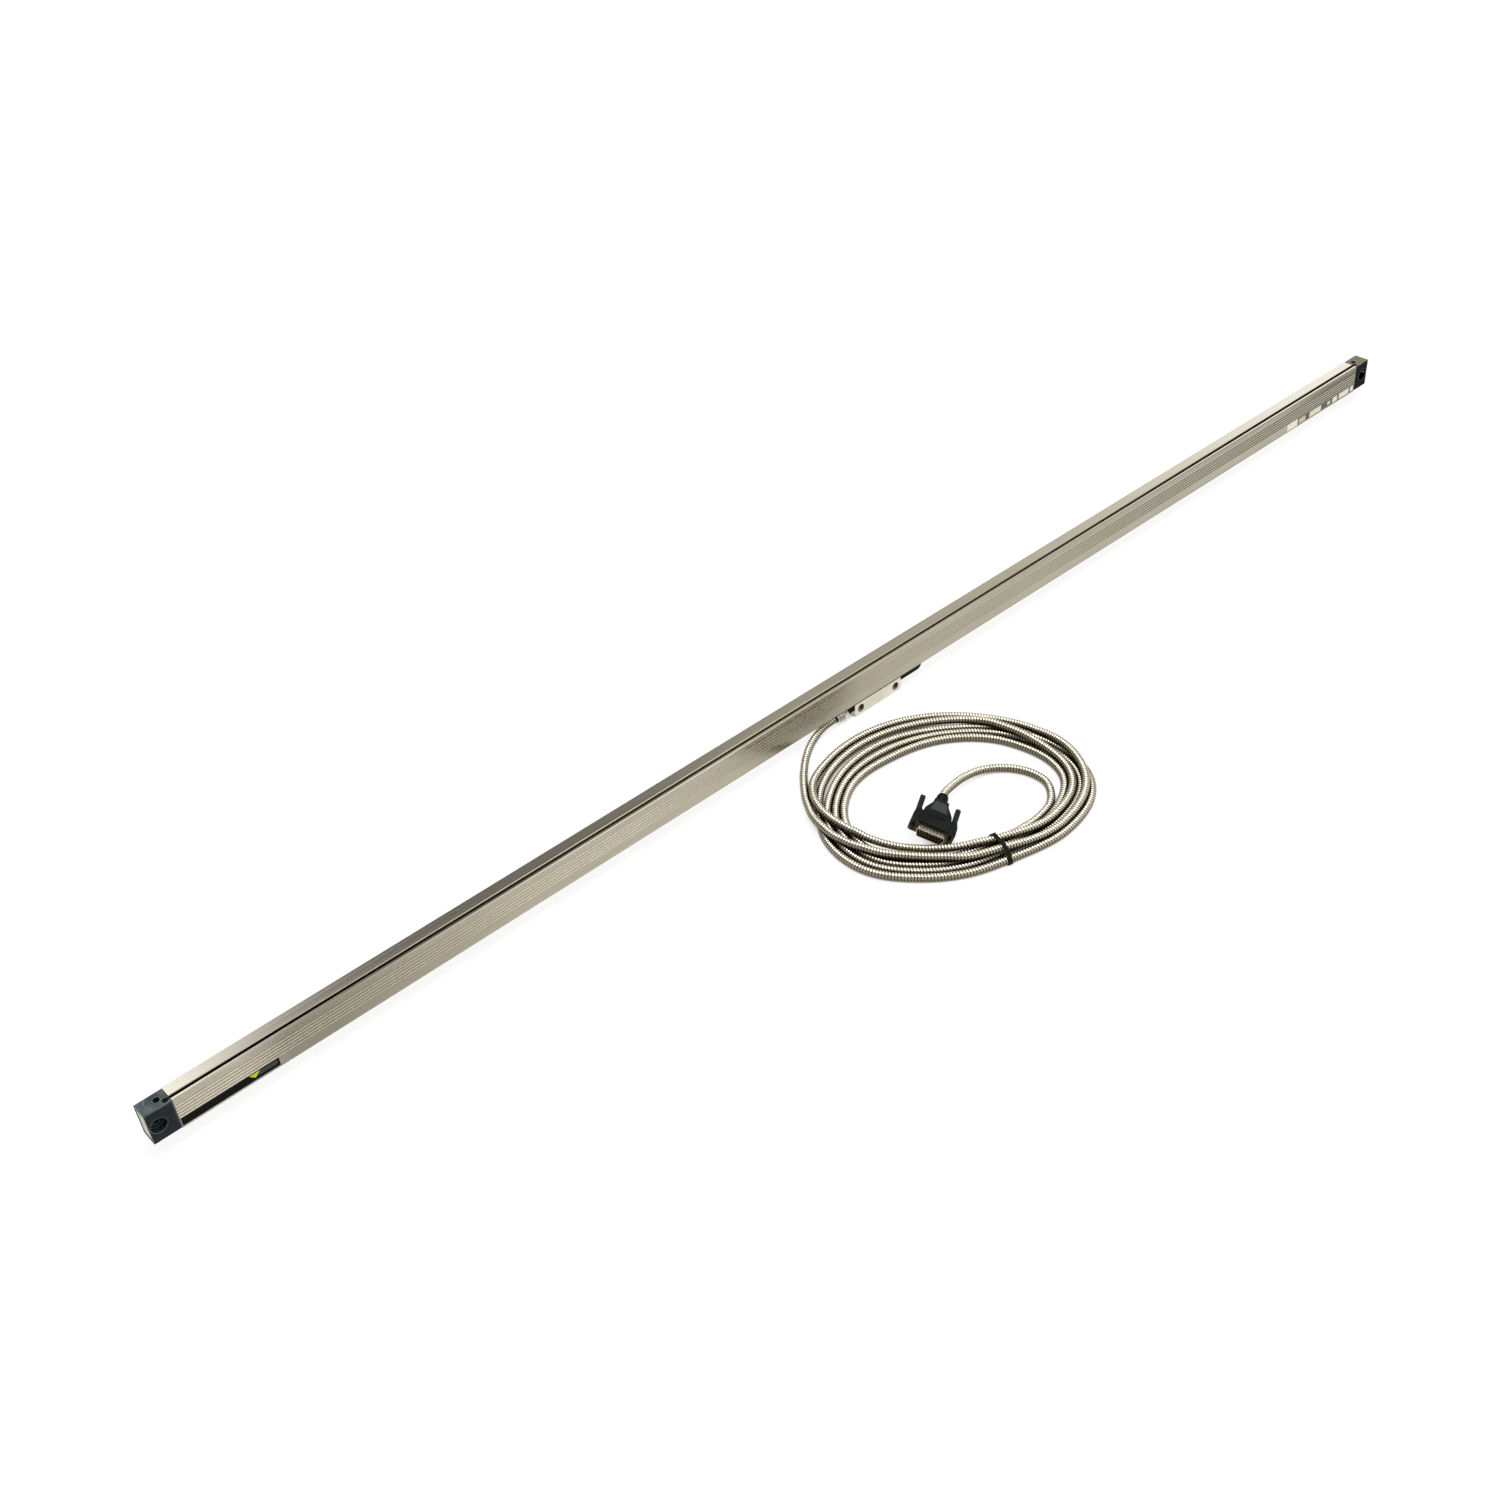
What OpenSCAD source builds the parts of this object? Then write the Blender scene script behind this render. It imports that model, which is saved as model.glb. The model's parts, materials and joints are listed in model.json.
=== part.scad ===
// Slim sealed linear glass scale: a ribbed aluminium housing with the glass
// inside, a reading head that runs along its underside on a blade through two
// lip seals, and an armoured signal cable that ends in a 15-way D-sub plug.
//
// +X runs along the scale, -Y is the labelled front face, +Z is up.
// The origin is on the floor, under the middle of the housing.

/* [Housing] */
// Overall length over the two end blocks
overall_len = 1560; // [700:10:2400]
// Depth of the extruded housing, front face to back face
housing_depth = 18; // [17:0.5:24]
// Height of the extruded housing
housing_height = 32; // [30:0.5:40]
// Thickness of the front and back walls
side_wall = 2.5; // [2:0.1:3]
// Thickness of the bottom wall beside the slit
bottom_wall = 3.5; // [3.3:0.1:4]
// Thickness of the top wall above the inner space
top_wall = 5.5; // [5:0.1:6.5]
// Width of the slit in the bottom wall
slit_width = 3.6; // [3.4:0.1:4]
// Width of the mounting slot along the top face
top_slot_width = 3; // [2:0.1:3.4]
// Depth of the mounting slot along the top face
top_slot_depth = 3.2; // [1.5:0.1:3.4]
// Distance from the front face to the middle of the top slot
top_slot_inset = 4.6; // [4:0.1:5.5]
// Number of fine grooves on the front face
groove_count = 5; // [3:1:6]
// Distance from one fine groove to the next
groove_pitch = 3.05; // [2.6:0.05:3.2]
// Height of the lowest fine groove above the housing's underside
groove_start = 12.3; // [11:0.1:14]
// Radius of each fine groove
groove_radius = 0.75; // [0.5:0.05:0.9]

/* [End blocks] */
// Length of each end block along the scale
block_len = 23; // [20:0.5:30]
// Depth of the end block, front to back
block_depth = 17; // [16:0.5:22]
// Height of the end block
block_height = 31; // [28:0.5:36]
// Diameter of the counterbore in the block's front face
front_cbore_d = 14; // [11:0.5:15]
// Depth of the counterbore in the block's front face
front_cbore_depth = 6.4; // [4:0.1:7]
// Diameter of the front-to-back fixing hole
front_hole_d = 6.6; // [5:0.1:7]
// Distance from the block's outer end to the front fixing hole
front_hole_inset = 8.3; // [7.5:0.1:9]
// Diameter of the top-to-bottom fixing hole
top_hole_d = 5.8; // [4.5:0.1:6]
// Distance from the block's outer end to the top fixing hole
top_hole_inset = 15.2; // [14.8:0.1:16.5]
// Thickness of the gasket between block and housing
gasket_t = 0.6; // [0.3:0.1:1]

/* [Reading head] */
// Height of the housing's underside above the floor
ride_height = 14; // [12.5:0.5:18]
// Position of the head's middle along the scale at rest
head_x = -17; // [-60:1:60]
// Length of the cast head block
head_len = 61; // [58:1:80]
// Gap between the head and the housing's underside
head_gap = 0.6; // [0.4:0.1:1]
// Distance between the head's two fixing holes
head_hole_pitch = 46; // [44:0.5:50]
// Diameter of the head's fixing holes
head_hole_d = 4.5; // [3.4:0.1:5.5]
// Diameter of the counterbores of the head's fixing holes
head_cbore_d = 8.4; // [7:0.1:9]
// Length of the black cover on the head's right side
cover_right_len = 31; // [20:1:40]
// Length of the black cover between the head and the cable gland
cover_left_len = 8; // [6:1:14]
// Thickness of the blade that passes through the slit
blade_t = 1.6; // [1.2:0.1:1.8]

/* [Scanning carriage] */
// Length of the glass scale inside the housing
glass_len = 1498; // [600:2:2330]
// Thickness of the glass
glass_t = 2; // [1.6:0.1:2.4]
// Height of the glass
glass_height = 14; // [12:0.5:15]
// Length of the carriage that runs on the glass
carriage_len = 90; // [84:1:100]
// Diameter of the guide rollers
roller_d = 4; // [3.6:0.1:4.4]
// Width of the guide rollers
roller_w = 2; // [1.6:0.1:2]
// Diameter of the pins that carry the rollers
roller_pin_d = 1.5; // [1.2:0.1:1.6]

/* [Cable and plug] */
// Outside diameter of the armoured cable
cable_d = 7.5; // [6.5:0.1:8]
// Inner radius of the wound cable
coil_inner_r = 84; // [82:0.5:88]
// Outer radius of the wound cable
coil_outer_r = 121; // [110:0.5:125]
// Height of the wound cable, two layers of turns
coil_height = 15.5; // [14:0.5:17]
// Turn of the plug about the vertical, as it lies
plug_heading = 31; // [20:1:40]
// Lean of the plug about its own axis, as it lies
plug_roll = 20; // [0:1:25]

/* [Hidden] */
$fn = 48;
eps = 0.01;

// Colours of the finishes
col_anodised = [0.72, 0.69, 0.62];
col_black = [0.10, 0.10, 0.11];
col_dark = [0.19, 0.21, 0.22];
col_steel = [0.72, 0.72, 0.70];
col_rubber = [0.06, 0.06, 0.06];
col_cream = [0.86, 0.85, 0.74];
col_glass = [0.75, 0.85, 0.85];
col_board = [0.10, 0.35, 0.18];
col_brass = [0.80, 0.65, 0.30];
col_silver = [0.80, 0.78, 0.73];

// Housing section, measured in the Y-Z plane
body_len = overall_len - 2 * (block_len + gasket_t);
front_y = -housing_depth / 2;
back_y = housing_depth / 2;
base_z = ride_height;
top_z = base_z + housing_height;
room_front = front_y + side_wall;
room_back = back_y - side_wall;
room_floor = base_z + bottom_wall;
room_top = top_z - top_wall;
slot_y = front_y + top_slot_inset;
edge_bevel = 0.7;
seal_root_z = base_z + 1;
seal_root_h = 1.6;
seal_root_half = 4.2;
seal_rise = 2.7;
seal_gap = 0.3;
screw_boss_r = 2.3;
screw_boss_y = room_back;
screw_boss_high = top_z - 5;
block_screw_d = 3;
block_screw_grip = 12;
block_screw_head_r = 1.9;

// Glass and its groove in the top wall
bond_t = 0.4;
glass_front = 2;
glass_back = glass_front + glass_t;
glass_top = room_top + 2.6;
glass_low = glass_top - glass_height;

// End blocks
block_outer = overall_len / 2;
block_inner = block_outer - block_len;
block_base = base_z + (housing_height - block_height) / 2;
block_top = block_base + block_height;
block_mid = (block_base + block_top) / 2;
plate_t = 0.8;
plate_rim = 1.6;
plate_recess = 0.5;
spot_face_r = 9.4;
spot_face_depth = 0.35;
top_hole_y = 1;
stop_screw_d = 5.6;
stop_screw_x = block_inner + stop_screw_d / 2 + 0.1;

// Labels on the front face
label_t = 0.15;
label_low = base_z + 2.4;
label_high = base_z + 10.4;
front_label_len = 85;
rating_label_len = 127;

// Reading head
head_top = base_z - head_gap;
head_front = -8.7;
head_back = 8;
head_corner = 2.5;
head_hole_z = 6.6;
head_cbore_depth = 4.4;
blade_len = 30;
blade_low = 4;
blade_root_clear = 0.1;
cover_front = -6.6;
cover_back = 0.6;
cover_low = 4.6;
cover_left_x = head_x - head_len / 2 - cover_left_len;
cable_y = -3.5;
cable_z = 7;
gland_len = 9;
gland_nut_len = 4;
gland_d = cable_d + 2.5;
cable_r = cable_d / 2;
exit_x = cover_left_x - gland_nut_len - gland_len;

// Scanning carriage
roller_gap = 0.15;
running_gap = 0.05;
side_gap = 0.2;
floor_gap = 0.75;
carriage_floor_t = 1.6;
carriage_floor = glass_low - roller_gap - roller_d - floor_gap - carriage_floor_t;
screw_boss_gap = 0.6;
screw_boss_low = carriage_floor - screw_boss_gap - screw_boss_r;
carriage_front = room_front + 0.7;
carriage_wall = 2.4;
carriage_back = room_back - 0.3;
carriage_back_t = 1;
carriage_back_top = glass_low + 8.5;
lug_t = 1;
lug_half = 2;
face_axis_y = glass_front - roller_gap - roller_d / 2;
edge_axis_z = glass_low - roller_gap - roller_d / 2;
face_low_z = glass_low + 1.6;
face_high_z = glass_low + 6.2;
carriage_wall_top = face_high_z + roller_w + side_gap + lug_t;
roller_far = carriage_len / 2 - 9;
roller_mid = 24;
edge_far = carriage_len / 2 - 15;
pin_seat = 1;
// Rollers on the glass face: offset along the carriage and height of the lower side
face_rollers = [[-roller_far, face_low_z], [roller_far, face_low_z], [roller_mid, face_high_z]];
// Rollers under the glass edge: offset along the carriage
edge_rollers = [-edge_far, edge_far];
blade_top = carriage_floor + carriage_floor_t + 3.2;
wire_r = 0.4;
wire_z = blade_top - 1;
wire_len = 26;
optic_z = glass_low + 2.2;
optic_h = 8;
optic_len = 22;
reticle_t = 0.8;
reticle_gap = 0.3;
board_t = 1;

// Route of the cable from the gland to the coil
lead_route = [[exit_x, cable_y, cable_z], [-82, -3.6, 6.6], [-95, -6, 5.2], [-109, -12, 4.2],
    [-123, -21, 3.8], [-138, -34, 3.8], [-152, -50, 3.8], [-165, -68, 3.8], [-174, -87, 3.8],
    [-179, -106, 3.8]];
// Middle of the coil
coil_mid = [-71, -150, 0];
// Angle of the tie round the coil
tie_angle = 255;
tie_w = 4;
tie_t = 1.3;
// Fifteen-way D-sub plug, in its own frame: +X towards the cable
flange_w = 39.2;
flange_h = 12.5;
flange_t = 1;
screw_pitch = 33.3;
thumb_d = 2.84;
dshell_w = 25.8;
dshell_h = 9.2;
dshell_len = 5.9;
dshell_t = 0.5;
dshell_lean = 10;
dshell_r = 2;
pin_pitch = 2.77;
pin_row_gap = 2.84;
pin_r = 0.5;
hood_base_len = 9;
hood_half = 20.2;
hood_pocket = 5;
pin_tip = flange_t + dshell_len - 1.3;
hood_len = 36;
hood_h = 14.5;
neck_d = 12;
knob_d = 5;
knob_end = 38;

// Position of the plug's flange, and the route from its hood back to the coil
plug_pos = [-128, -184, hood_half * sin(plug_roll) + flange_h / 2 * cos(plug_roll) + 0.1];
relief_end = 48;
tail_straight = 5;
plug_axis = [cos(plug_heading), sin(plug_heading), 0];
tail_route = [plug_pos + relief_end * plug_axis, plug_pos + (relief_end + tail_straight) * plug_axis,
    [-71, -153.4, 11], [-55, -150.5, 8.6], [-40, -150.7, 6.6], [-28, -153.5, 5], [-15, -161.5, 4],
    [-4.5, -176, 3.8], [-0.5, -192, 3.8], [-2, -206, 3.8]];

// Points of an arc, for outlines with round corners
function arc(c, r, a0, a1, n = 6) =
    [for (i = [0 : n]) c + r * [cos(a0 + (a1 - a0) * i / n), sin(a0 + (a1 - a0) * i / n)]];

// Rectangle outline with round corners, from its low corner to its high corner
function round_rect(lo, hi, r) = concat(
    arc([lo.x + r, lo.y + r], r, 180, 270), arc([hi.x - r, lo.y + r], r, 270, 360),
    arc([hi.x - r, hi.y - r], r, 0, 90), arc([lo.x + r, hi.y - r], r, 90, 180));

// Extrudes a Y-Z outline along X, from x0 to x1
module along_x(x0, x1) {
    translate([x0, 0, 0]) rotate([90, 0, 90]) linear_extrude(x1 - x0) children();
}

// Plain block from its low corner to its high corner
module block(lo, hi) { translate(lo) cube(hi - lo); }

// Cylinder along X, Y or Z from a start point
module rod_x(p, r, l) { translate(p) rotate([0, 90, 0]) cylinder(r = r, h = l); }
module rod_y(p, r, l) { translate(p) rotate([-90, 0, 0]) cylinder(r = r, h = l); }
module rod_z(p, r, l) { translate(p) cylinder(r = r, h = l); }

// Copies a right-hand end piece to the left-hand end
module at_left() { mirror([1, 0, 0]) children(); }

// ---- Housing ----

module housing_section() {
    slit = slit_width / 2;
    slot = top_slot_width / 2;
    difference() {
        polygon([[front_y + edge_bevel, base_z], [back_y - edge_bevel, base_z],
            [back_y, base_z + edge_bevel], [back_y, top_z - edge_bevel],
            [back_y - edge_bevel, top_z], [front_y + edge_bevel, top_z],
            [front_y, top_z - edge_bevel], [front_y, base_z + edge_bevel]]);
        // Inner space, with two screw bosses left standing along the back wall
        difference() {
            translate([room_front, room_floor])
                square([room_back - room_front, room_top - room_floor]);
            translate([screw_boss_y, screw_boss_low]) circle(screw_boss_r);
            translate([screw_boss_y, screw_boss_high]) circle(screw_boss_r);
        }
        // Screw holes in the bosses
        translate([screw_boss_y, screw_boss_low]) circle(block_screw_d / 2);
        translate([screw_boss_y, screw_boss_high]) circle(block_screw_d / 2);
        // Groove that holds the glass
        translate([glass_front - bond_t, room_top - 1])
            square([glass_t + 2 * bond_t, glass_top + bond_t - room_top + 1]);
        // Slit and the grooves for the seals
        translate([-slit, base_z - 1]) square([slit_width, bottom_wall + 2]);
        translate([-seal_root_half, seal_root_z]) square([2 * seal_root_half, seal_root_h]);
        // Mounting slot along the top, with bevelled edges
        translate([slot_y - slot, top_z - top_slot_depth])
            square([top_slot_width, top_slot_depth + 1]);
        polygon([[slot_y - slot - 0.5, top_z + eps], [slot_y + slot + 0.5, top_z + eps],
            [slot_y, top_z - slot - 0.5]]);
        // Fine grooves on the front, a line under the lip and one over the lower rim
        for (i = [0 : groove_count - 1])
            translate([front_y - groove_radius * 0.35, base_z + groove_start + i * groove_pitch])
                circle(groove_radius);
        translate([front_y, top_z - 3]) circle(0.35);
        translate([front_y, base_z + 1.4]) circle(0.35);
    }
}

module housing() {
    color(col_anodised) along_x(-body_len / 2, body_len / 2) housing_section();
}

module glass_scale() {
    color(col_glass) block([-glass_len / 2, glass_front, glass_low],
        [glass_len / 2, glass_back, glass_top]);
}

// Elastic adhesive that holds the glass in its groove
module scale_bond() {
    color(col_cream) difference() {
        block([-glass_len / 2, glass_front - bond_t, room_top + 0.3],
            [glass_len / 2, glass_back + bond_t, glass_top + bond_t]);
        block([-glass_len / 2 - 1, glass_front, room_top - 1],
            [glass_len / 2 + 1, glass_back, glass_top]);
    }
}

// One seal: a root in the housing's groove and a lip that leans in to the blade
module lip_seal() {
    slit = slit_width / 2;
    lip = blade_t / 2 + seal_gap;
    lip_z = room_floor + seal_rise;
    color(col_rubber) along_x(-body_len / 2, body_len / 2)
        polygon([[-seal_root_half, seal_root_z], [-slit + 0.3, seal_root_z], [-lip, lip_z],
            [-lip - 0.45, lip_z], [-slit, room_floor + 0.1], [-slit, seal_root_z + seal_root_h],
            [-seal_root_half, seal_root_z + seal_root_h]]);
}

module lip_seal_front() { lip_seal(); }
module lip_seal_rear() { mirror([0, 1, 0]) lip_seal(); }

// ---- End blocks, drawn for the right-hand end ----

module end_outline(grow = 0) {
    polygon(round_rect([-block_depth / 2 - grow, block_base - grow],
        [block_depth / 2 + grow, block_top + grow], 0.8));
}

module end_block() {
    front_x = block_outer - front_hole_inset;
    top_x = block_outer - top_hole_inset;
    y0 = -block_depth / 2;
    color(col_dark) difference() {
        along_x(block_inner, block_outer) end_outline();
        // Front fixing hole with its counterbore
        rod_y([front_x, y0 - 1, block_mid], front_hole_d / 2, block_depth + 2);
        rod_y([front_x, y0 - 1, block_mid], front_cbore_d / 2, front_cbore_depth + 1);
        // Top fixing hole with its spot face
        rod_z([top_x, top_hole_y, block_base - 1], top_hole_d / 2, block_height + 2);
        rod_z([top_x, top_hole_y, block_top - spot_face_depth], spot_face_r, 1);
        // Pocket for the stop screw where the top slot ends
        rod_z([stop_screw_x, slot_y, block_top - top_slot_depth], stop_screw_d / 2, 5);
        block([block_inner - 1, slot_y - top_slot_width / 2, block_top - top_slot_depth],
            [stop_screw_x, slot_y + top_slot_width / 2, block_top + 1]);
        // Recess for the end plate
        along_x(block_outer - plate_t - plate_recess, block_outer + 1) plate_outline();
        // Fixing screws into the housing
        for (z = [screw_boss_low, screw_boss_high]) {
            rod_x([block_inner - 1, screw_boss_y, z], block_screw_d / 2, block_len + 2);
            rod_x([block_outer - 5, screw_boss_y, z], block_screw_head_r, 6);
        }
    }
}

module plate_outline() {
    polygon(round_rect([-block_depth / 2 + plate_rim, block_base + plate_rim],
        [block_depth / 2 - plate_rim, block_top - plate_rim], 1.2));
}

module end_plate() {
    color(col_cream)
        along_x(block_outer - plate_t - plate_recess, block_outer - plate_recess) plate_outline();
}

module end_gasket() {
    color(col_rubber) along_x(block_inner - gasket_t, block_inner) difference() {
        end_outline();
        for (z = [screw_boss_low, screw_boss_high])
            translate([screw_boss_y, z]) circle(block_screw_d / 2);
    }
}

// Socket screw along X with its head towards +X
module block_screw(z) {
    head_h = 2.6;
    x0 = block_inner - gasket_t - block_screw_grip;
    x1 = block_outer - 5;
    difference() {
        union() {
            rod_x([x0, screw_boss_y, z], block_screw_d / 2 - running_gap, x1 - x0 + eps);
            rod_x([x1, screw_boss_y, z], block_screw_head_r - running_gap, head_h);
        }
        translate([x1 + head_h - 1.4, screw_boss_y, z]) rotate([0, 90, 0])
            cylinder(r = 1, h = 2, $fn = 6);
    }
}

module end_block_screws() {
    color(col_steel) for (z = [screw_boss_low, screw_boss_high]) {
        block_screw(z);
        at_left() block_screw(z);
    }
}

// Slotted stop screw in the pocket at each end of the top slot
module stop_screw() {
    z0 = block_top - top_slot_depth;
    difference() {
        rod_z([stop_screw_x, slot_y, z0], stop_screw_d / 2 - 0.2, 1.6);
        block([stop_screw_x - 3, slot_y - 0.4, z0 + 1], [stop_screw_x + 3, slot_y + 0.4, z0 + 2]);
    }
}

module slot_stop_screws() {
    color(col_dark) {
        stop_screw();
        at_left() stop_screw();
    }
}

module end_block_left() { at_left() end_block(); }
module end_block_right() { end_block(); }
module end_gasket_left() { at_left() end_gasket(); }
module end_gasket_right() { end_gasket(); }
module end_plate_left() { at_left() end_plate(); }
module end_plate_right() { end_plate(); }

module front_label() {
    x0 = -body_len / 2 + 0.5;
    color(col_black) block([x0, front_y - label_t, label_low],
        [x0 + front_label_len, front_y, label_high]);
}

module rating_label() {
    x1 = body_len / 2 - 0.5;
    color(col_silver) block([x1 - rating_label_len, front_y - label_t, label_low],
        [x1, front_y, label_high]);
}

// ---- Reading head ----

module head_block() {
    x0 = head_x - head_len / 2;
    x1 = head_x + head_len / 2;
    color(col_silver) difference() {
        // Front outline with round lower corners, run from front to back
        translate([0, head_back, 0]) rotate([90, 0, 0]) linear_extrude(head_back - head_front)
            polygon(concat(arc([x0 + head_corner, head_corner], head_corner, 180, 270),
                arc([x1 - head_corner, head_corner], head_corner, 270, 360),
                [[x1, head_top], [x0, head_top]]));
        for (s = [-1, 1]) {
            x = head_x + s * head_hole_pitch / 2;
            rod_y([x, head_front - 1, head_hole_z], head_hole_d / 2, head_back - head_front + 2);
            rod_y([x, head_front - 1, head_hole_z], head_cbore_d / 2, head_cbore_depth + 1);
        }
        // Slot that takes the root of the blade
        block([head_x - blade_len / 2 - blade_root_clear, -blade_t / 2, blade_low],
            [head_x + blade_len / 2 + blade_root_clear, blade_t / 2, head_top + 1]);
        // Holes for the two screws that clamp the blade
        for (s = [-1, 1])
            rod_y([head_x + s * blade_len / 4, -4, blade_low + 3], 1.25, head_back + 5);
        for (s = [-1, 1])
            rod_y([head_x + s * blade_len / 4, head_back - 2, blade_low + 3], 2.4, 3);
        // Shallow relief along the back of the block
        block([head_x - 14, head_back - 0.6, -1], [head_x + 14, head_back + 1, 2.4]);
    }
}

module head_blade() {
    color(col_steel) difference() {
        union() {
            block([head_x - blade_len / 2, -blade_t / 2, blade_low],
                [head_x + blade_len / 2, blade_t / 2, carriage_floor + carriage_floor_t + 0.6]);
            block([head_x - 4, -blade_t / 2, carriage_floor],
                [head_x + 4, blade_t / 2, blade_top]);
        }
        for (s = [-1, 1])
            rod_y([head_x + s * blade_len / 4, -2, blade_low + 3], 1.25, 4);
        rod_x([head_x - 5, 0, wire_z], wire_r, 10);
    }
}

module blade_screws() {
    color(col_steel) for (s = [-1, 1])
        translate([head_x + s * blade_len / 4, 0, blade_low + 3]) difference() {
            union() {
                rod_y([0, -4, 0], 1.25, head_back + 2);
                rod_y([0, head_back - 2, 0], 2.3, 1.7);
            }
            rod_y([0, head_back - 1.4, 0], 1, 3, $fn = 6);
        }
}

module cover_profile() {
    r = 2;
    polygon(concat(arc([cover_front + r, cover_low + r], r, 180, 270),
        arc([cover_back - r, cover_low + r], r, 270, 360),
        [[cover_back, head_top], [cover_front, head_top]]));
}

module head_cover_right() {
    x0 = head_x + head_len / 2;
    x1 = x0 + cover_right_len;
    color(col_black) intersection() {
        along_x(x0, x1) cover_profile();
        // The free end sweeps up in an arc
        translate([0, cover_back + 1, 0]) rotate([90, 0, 0])
            linear_extrude(cover_back - cover_front + 2)
                polygon(concat([[x0, head_top], [x0, cover_low]],
                    arc([x1 - 7, cover_low + 7], 7, 270, 360, 8), [[x1, head_top]]));
    }
}

module head_cover_left() {
    x1 = head_x - head_len / 2;
    color(col_black) along_x(cover_left_x, x1) cover_profile();
}

// Hexagon nut that holds the gland against the cover
module gland_nut() {
    color(col_steel) translate([cover_left_x - gland_nut_len, cable_y, cable_z])
        rotate([0, 90, 0]) difference() {
            cylinder(d = gland_d + 1, h = gland_nut_len, $fn = 6);
            translate([0, 0, -1]) cylinder(r = cable_r, h = gland_nut_len + 2);
        }
}

// Tapered sleeve with three grip rings, bored for the cable
module cable_gland() {
    color(col_dark) translate([cover_left_x - gland_nut_len, cable_y, cable_z])
        rotate([0, -90, 0]) rotate_extrude()
            polygon([[cable_r, 0], [gland_d / 2, 0], [gland_d / 2, 2.4], [gland_d / 2 - 0.5, 2.4],
                [gland_d / 2 - 0.5, 3.2], [gland_d / 2 - 0.1, 3.2], [gland_d / 2 - 0.2, 5.4],
                [gland_d / 2 - 0.7, 5.4], [gland_d / 2 - 0.7, 6.2], [gland_d / 2 - 0.4, 6.2],
                [gland_d / 2 - 0.9, gland_len], [cable_r, gland_len]]);
}

// ---- Scanning carriage ----

module carriage() {
    x0 = head_x - carriage_len / 2;
    x1 = head_x + carriage_len / 2;
    floor_top = carriage_floor + carriage_floor_t;
    wall_in = carriage_front + carriage_wall;
    back_in = carriage_back - carriage_back_t;
    color(col_dark) difference() {
        union() {
            along_x(x0, x1) polygon([[carriage_front, carriage_floor],
                [carriage_back, carriage_floor], [carriage_back, carriage_back_top],
                [back_in, carriage_back_top], [back_in, floor_top], [wall_in, floor_top],
                [wall_in, carriage_wall_top], [carriage_front, carriage_wall_top]]);
            // Lugs above and below each face roller
            for (r = face_rollers) {
                block([head_x + r[0] - lug_half, wall_in - eps, r[1] - side_gap - lug_t],
                    [head_x + r[0] + lug_half, glass_front - 0.7, r[1] - side_gap]);
                block([head_x + r[0] - lug_half, wall_in - eps, r[1] + roller_w + side_gap],
                    [head_x + r[0] + lug_half, glass_front - 0.7,
                        r[1] + roller_w + side_gap + lug_t]);
            }
            // Post that holds the coupling wire
            block([head_x + wire_len - 4, -1.5, floor_top - eps],
                [head_x + wire_len, 1.5, wire_z + 1.2]);
        }
        // Slot round the blade
        block([head_x - blade_len / 2 - 0.5, -blade_t / 2 - 0.4, carriage_floor - 1],
            [head_x + blade_len / 2 + 0.5, blade_t / 2 + 0.4, floor_top + 1]);
        for (r = face_rollers)
            rod_z([head_x + r[0], face_axis_y, r[1] - side_gap - lug_t - 1], roller_pin_d / 2,
                roller_w + 2 * (side_gap + lug_t + 1));
        for (x = edge_rollers)
            rod_y([head_x + x, wall_in - pin_seat, edge_axis_z], roller_pin_d / 2, 20);
        rod_x([head_x + wire_len - 5, 0, wire_z], wire_r, 6);
    }
}

module roller_pins() {
    wall_in = carriage_front + carriage_wall;
    color(col_steel) {
        for (r = face_rollers)
            rod_z([head_x + r[0], face_axis_y, r[1] - side_gap - lug_t], roller_pin_d / 2,
                roller_w + 2 * (side_gap + lug_t));
        for (x = edge_rollers)
            rod_y([head_x + x, wall_in - pin_seat, edge_axis_z], roller_pin_d / 2,
                carriage_back - wall_in + pin_seat);
    }
}

module face_roller(i) {
    r = face_rollers[i];
    color(col_steel) translate([head_x + r[0], face_axis_y, r[1]]) difference() {
        cylinder(d = roller_d, h = roller_w);
        translate([0, 0, -1]) cylinder(r = roller_pin_d / 2 + running_gap, h = roller_w + 2);
    }
}

module edge_roller(i) {
    y0 = (glass_front + glass_back - roller_w) / 2;
    color(col_steel) difference() {
        rod_y([head_x + edge_rollers[i], y0, edge_axis_z], roller_d / 2, roller_w);
        rod_y([head_x + edge_rollers[i], y0 - 1, edge_axis_z], roller_pin_d / 2 + running_gap,
            roller_w + 2);
    }
}

module roller_1() { face_roller(0); }
module roller_2() { face_roller(1); }
module roller_3() { face_roller(2); }
module roller_4() { edge_roller(0); }
module roller_5() { edge_roller(1); }

module coupling_wire() {
    color(col_steel) rod_x([head_x - 4, 0, wire_z], wire_r, wire_len + 4);
}

module sensor_board() {
    y0 = carriage_front + carriage_wall;
    color(col_board) block([head_x - 17, y0, optic_z - 1],
        [head_x + 17, y0 + board_t, optic_z + optic_h + 1]);
}

module detector() {
    y0 = carriage_front + carriage_wall + board_t;
    color(col_black) block([head_x - optic_len / 2, y0, optic_z],
        [head_x + optic_len / 2, glass_front - reticle_gap - reticle_t, optic_z + optic_h]);
}

module reticle() {
    y1 = glass_front - reticle_gap;
    color(col_glass) block([head_x - optic_len / 2, y1 - reticle_t, optic_z],
        [head_x + optic_len / 2, y1, optic_z + optic_h]);
}

// Lamp board on the carriage's back wall, with a row of four emitters
module light_board() {
    y1 = carriage_back - carriage_back_t;
    color(col_board) {
        block([head_x - 15, y1 - 0.5, optic_z], [head_x + 15, y1, carriage_back_top - 0.5]);
        for (i = [-1.5 : 1 : 1.5])
            rod_y([head_x + i * 5, y1 - 0.8, optic_z + optic_h / 2], 1.2, 0.3);
    }
}

// ---- Cable ----

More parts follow.
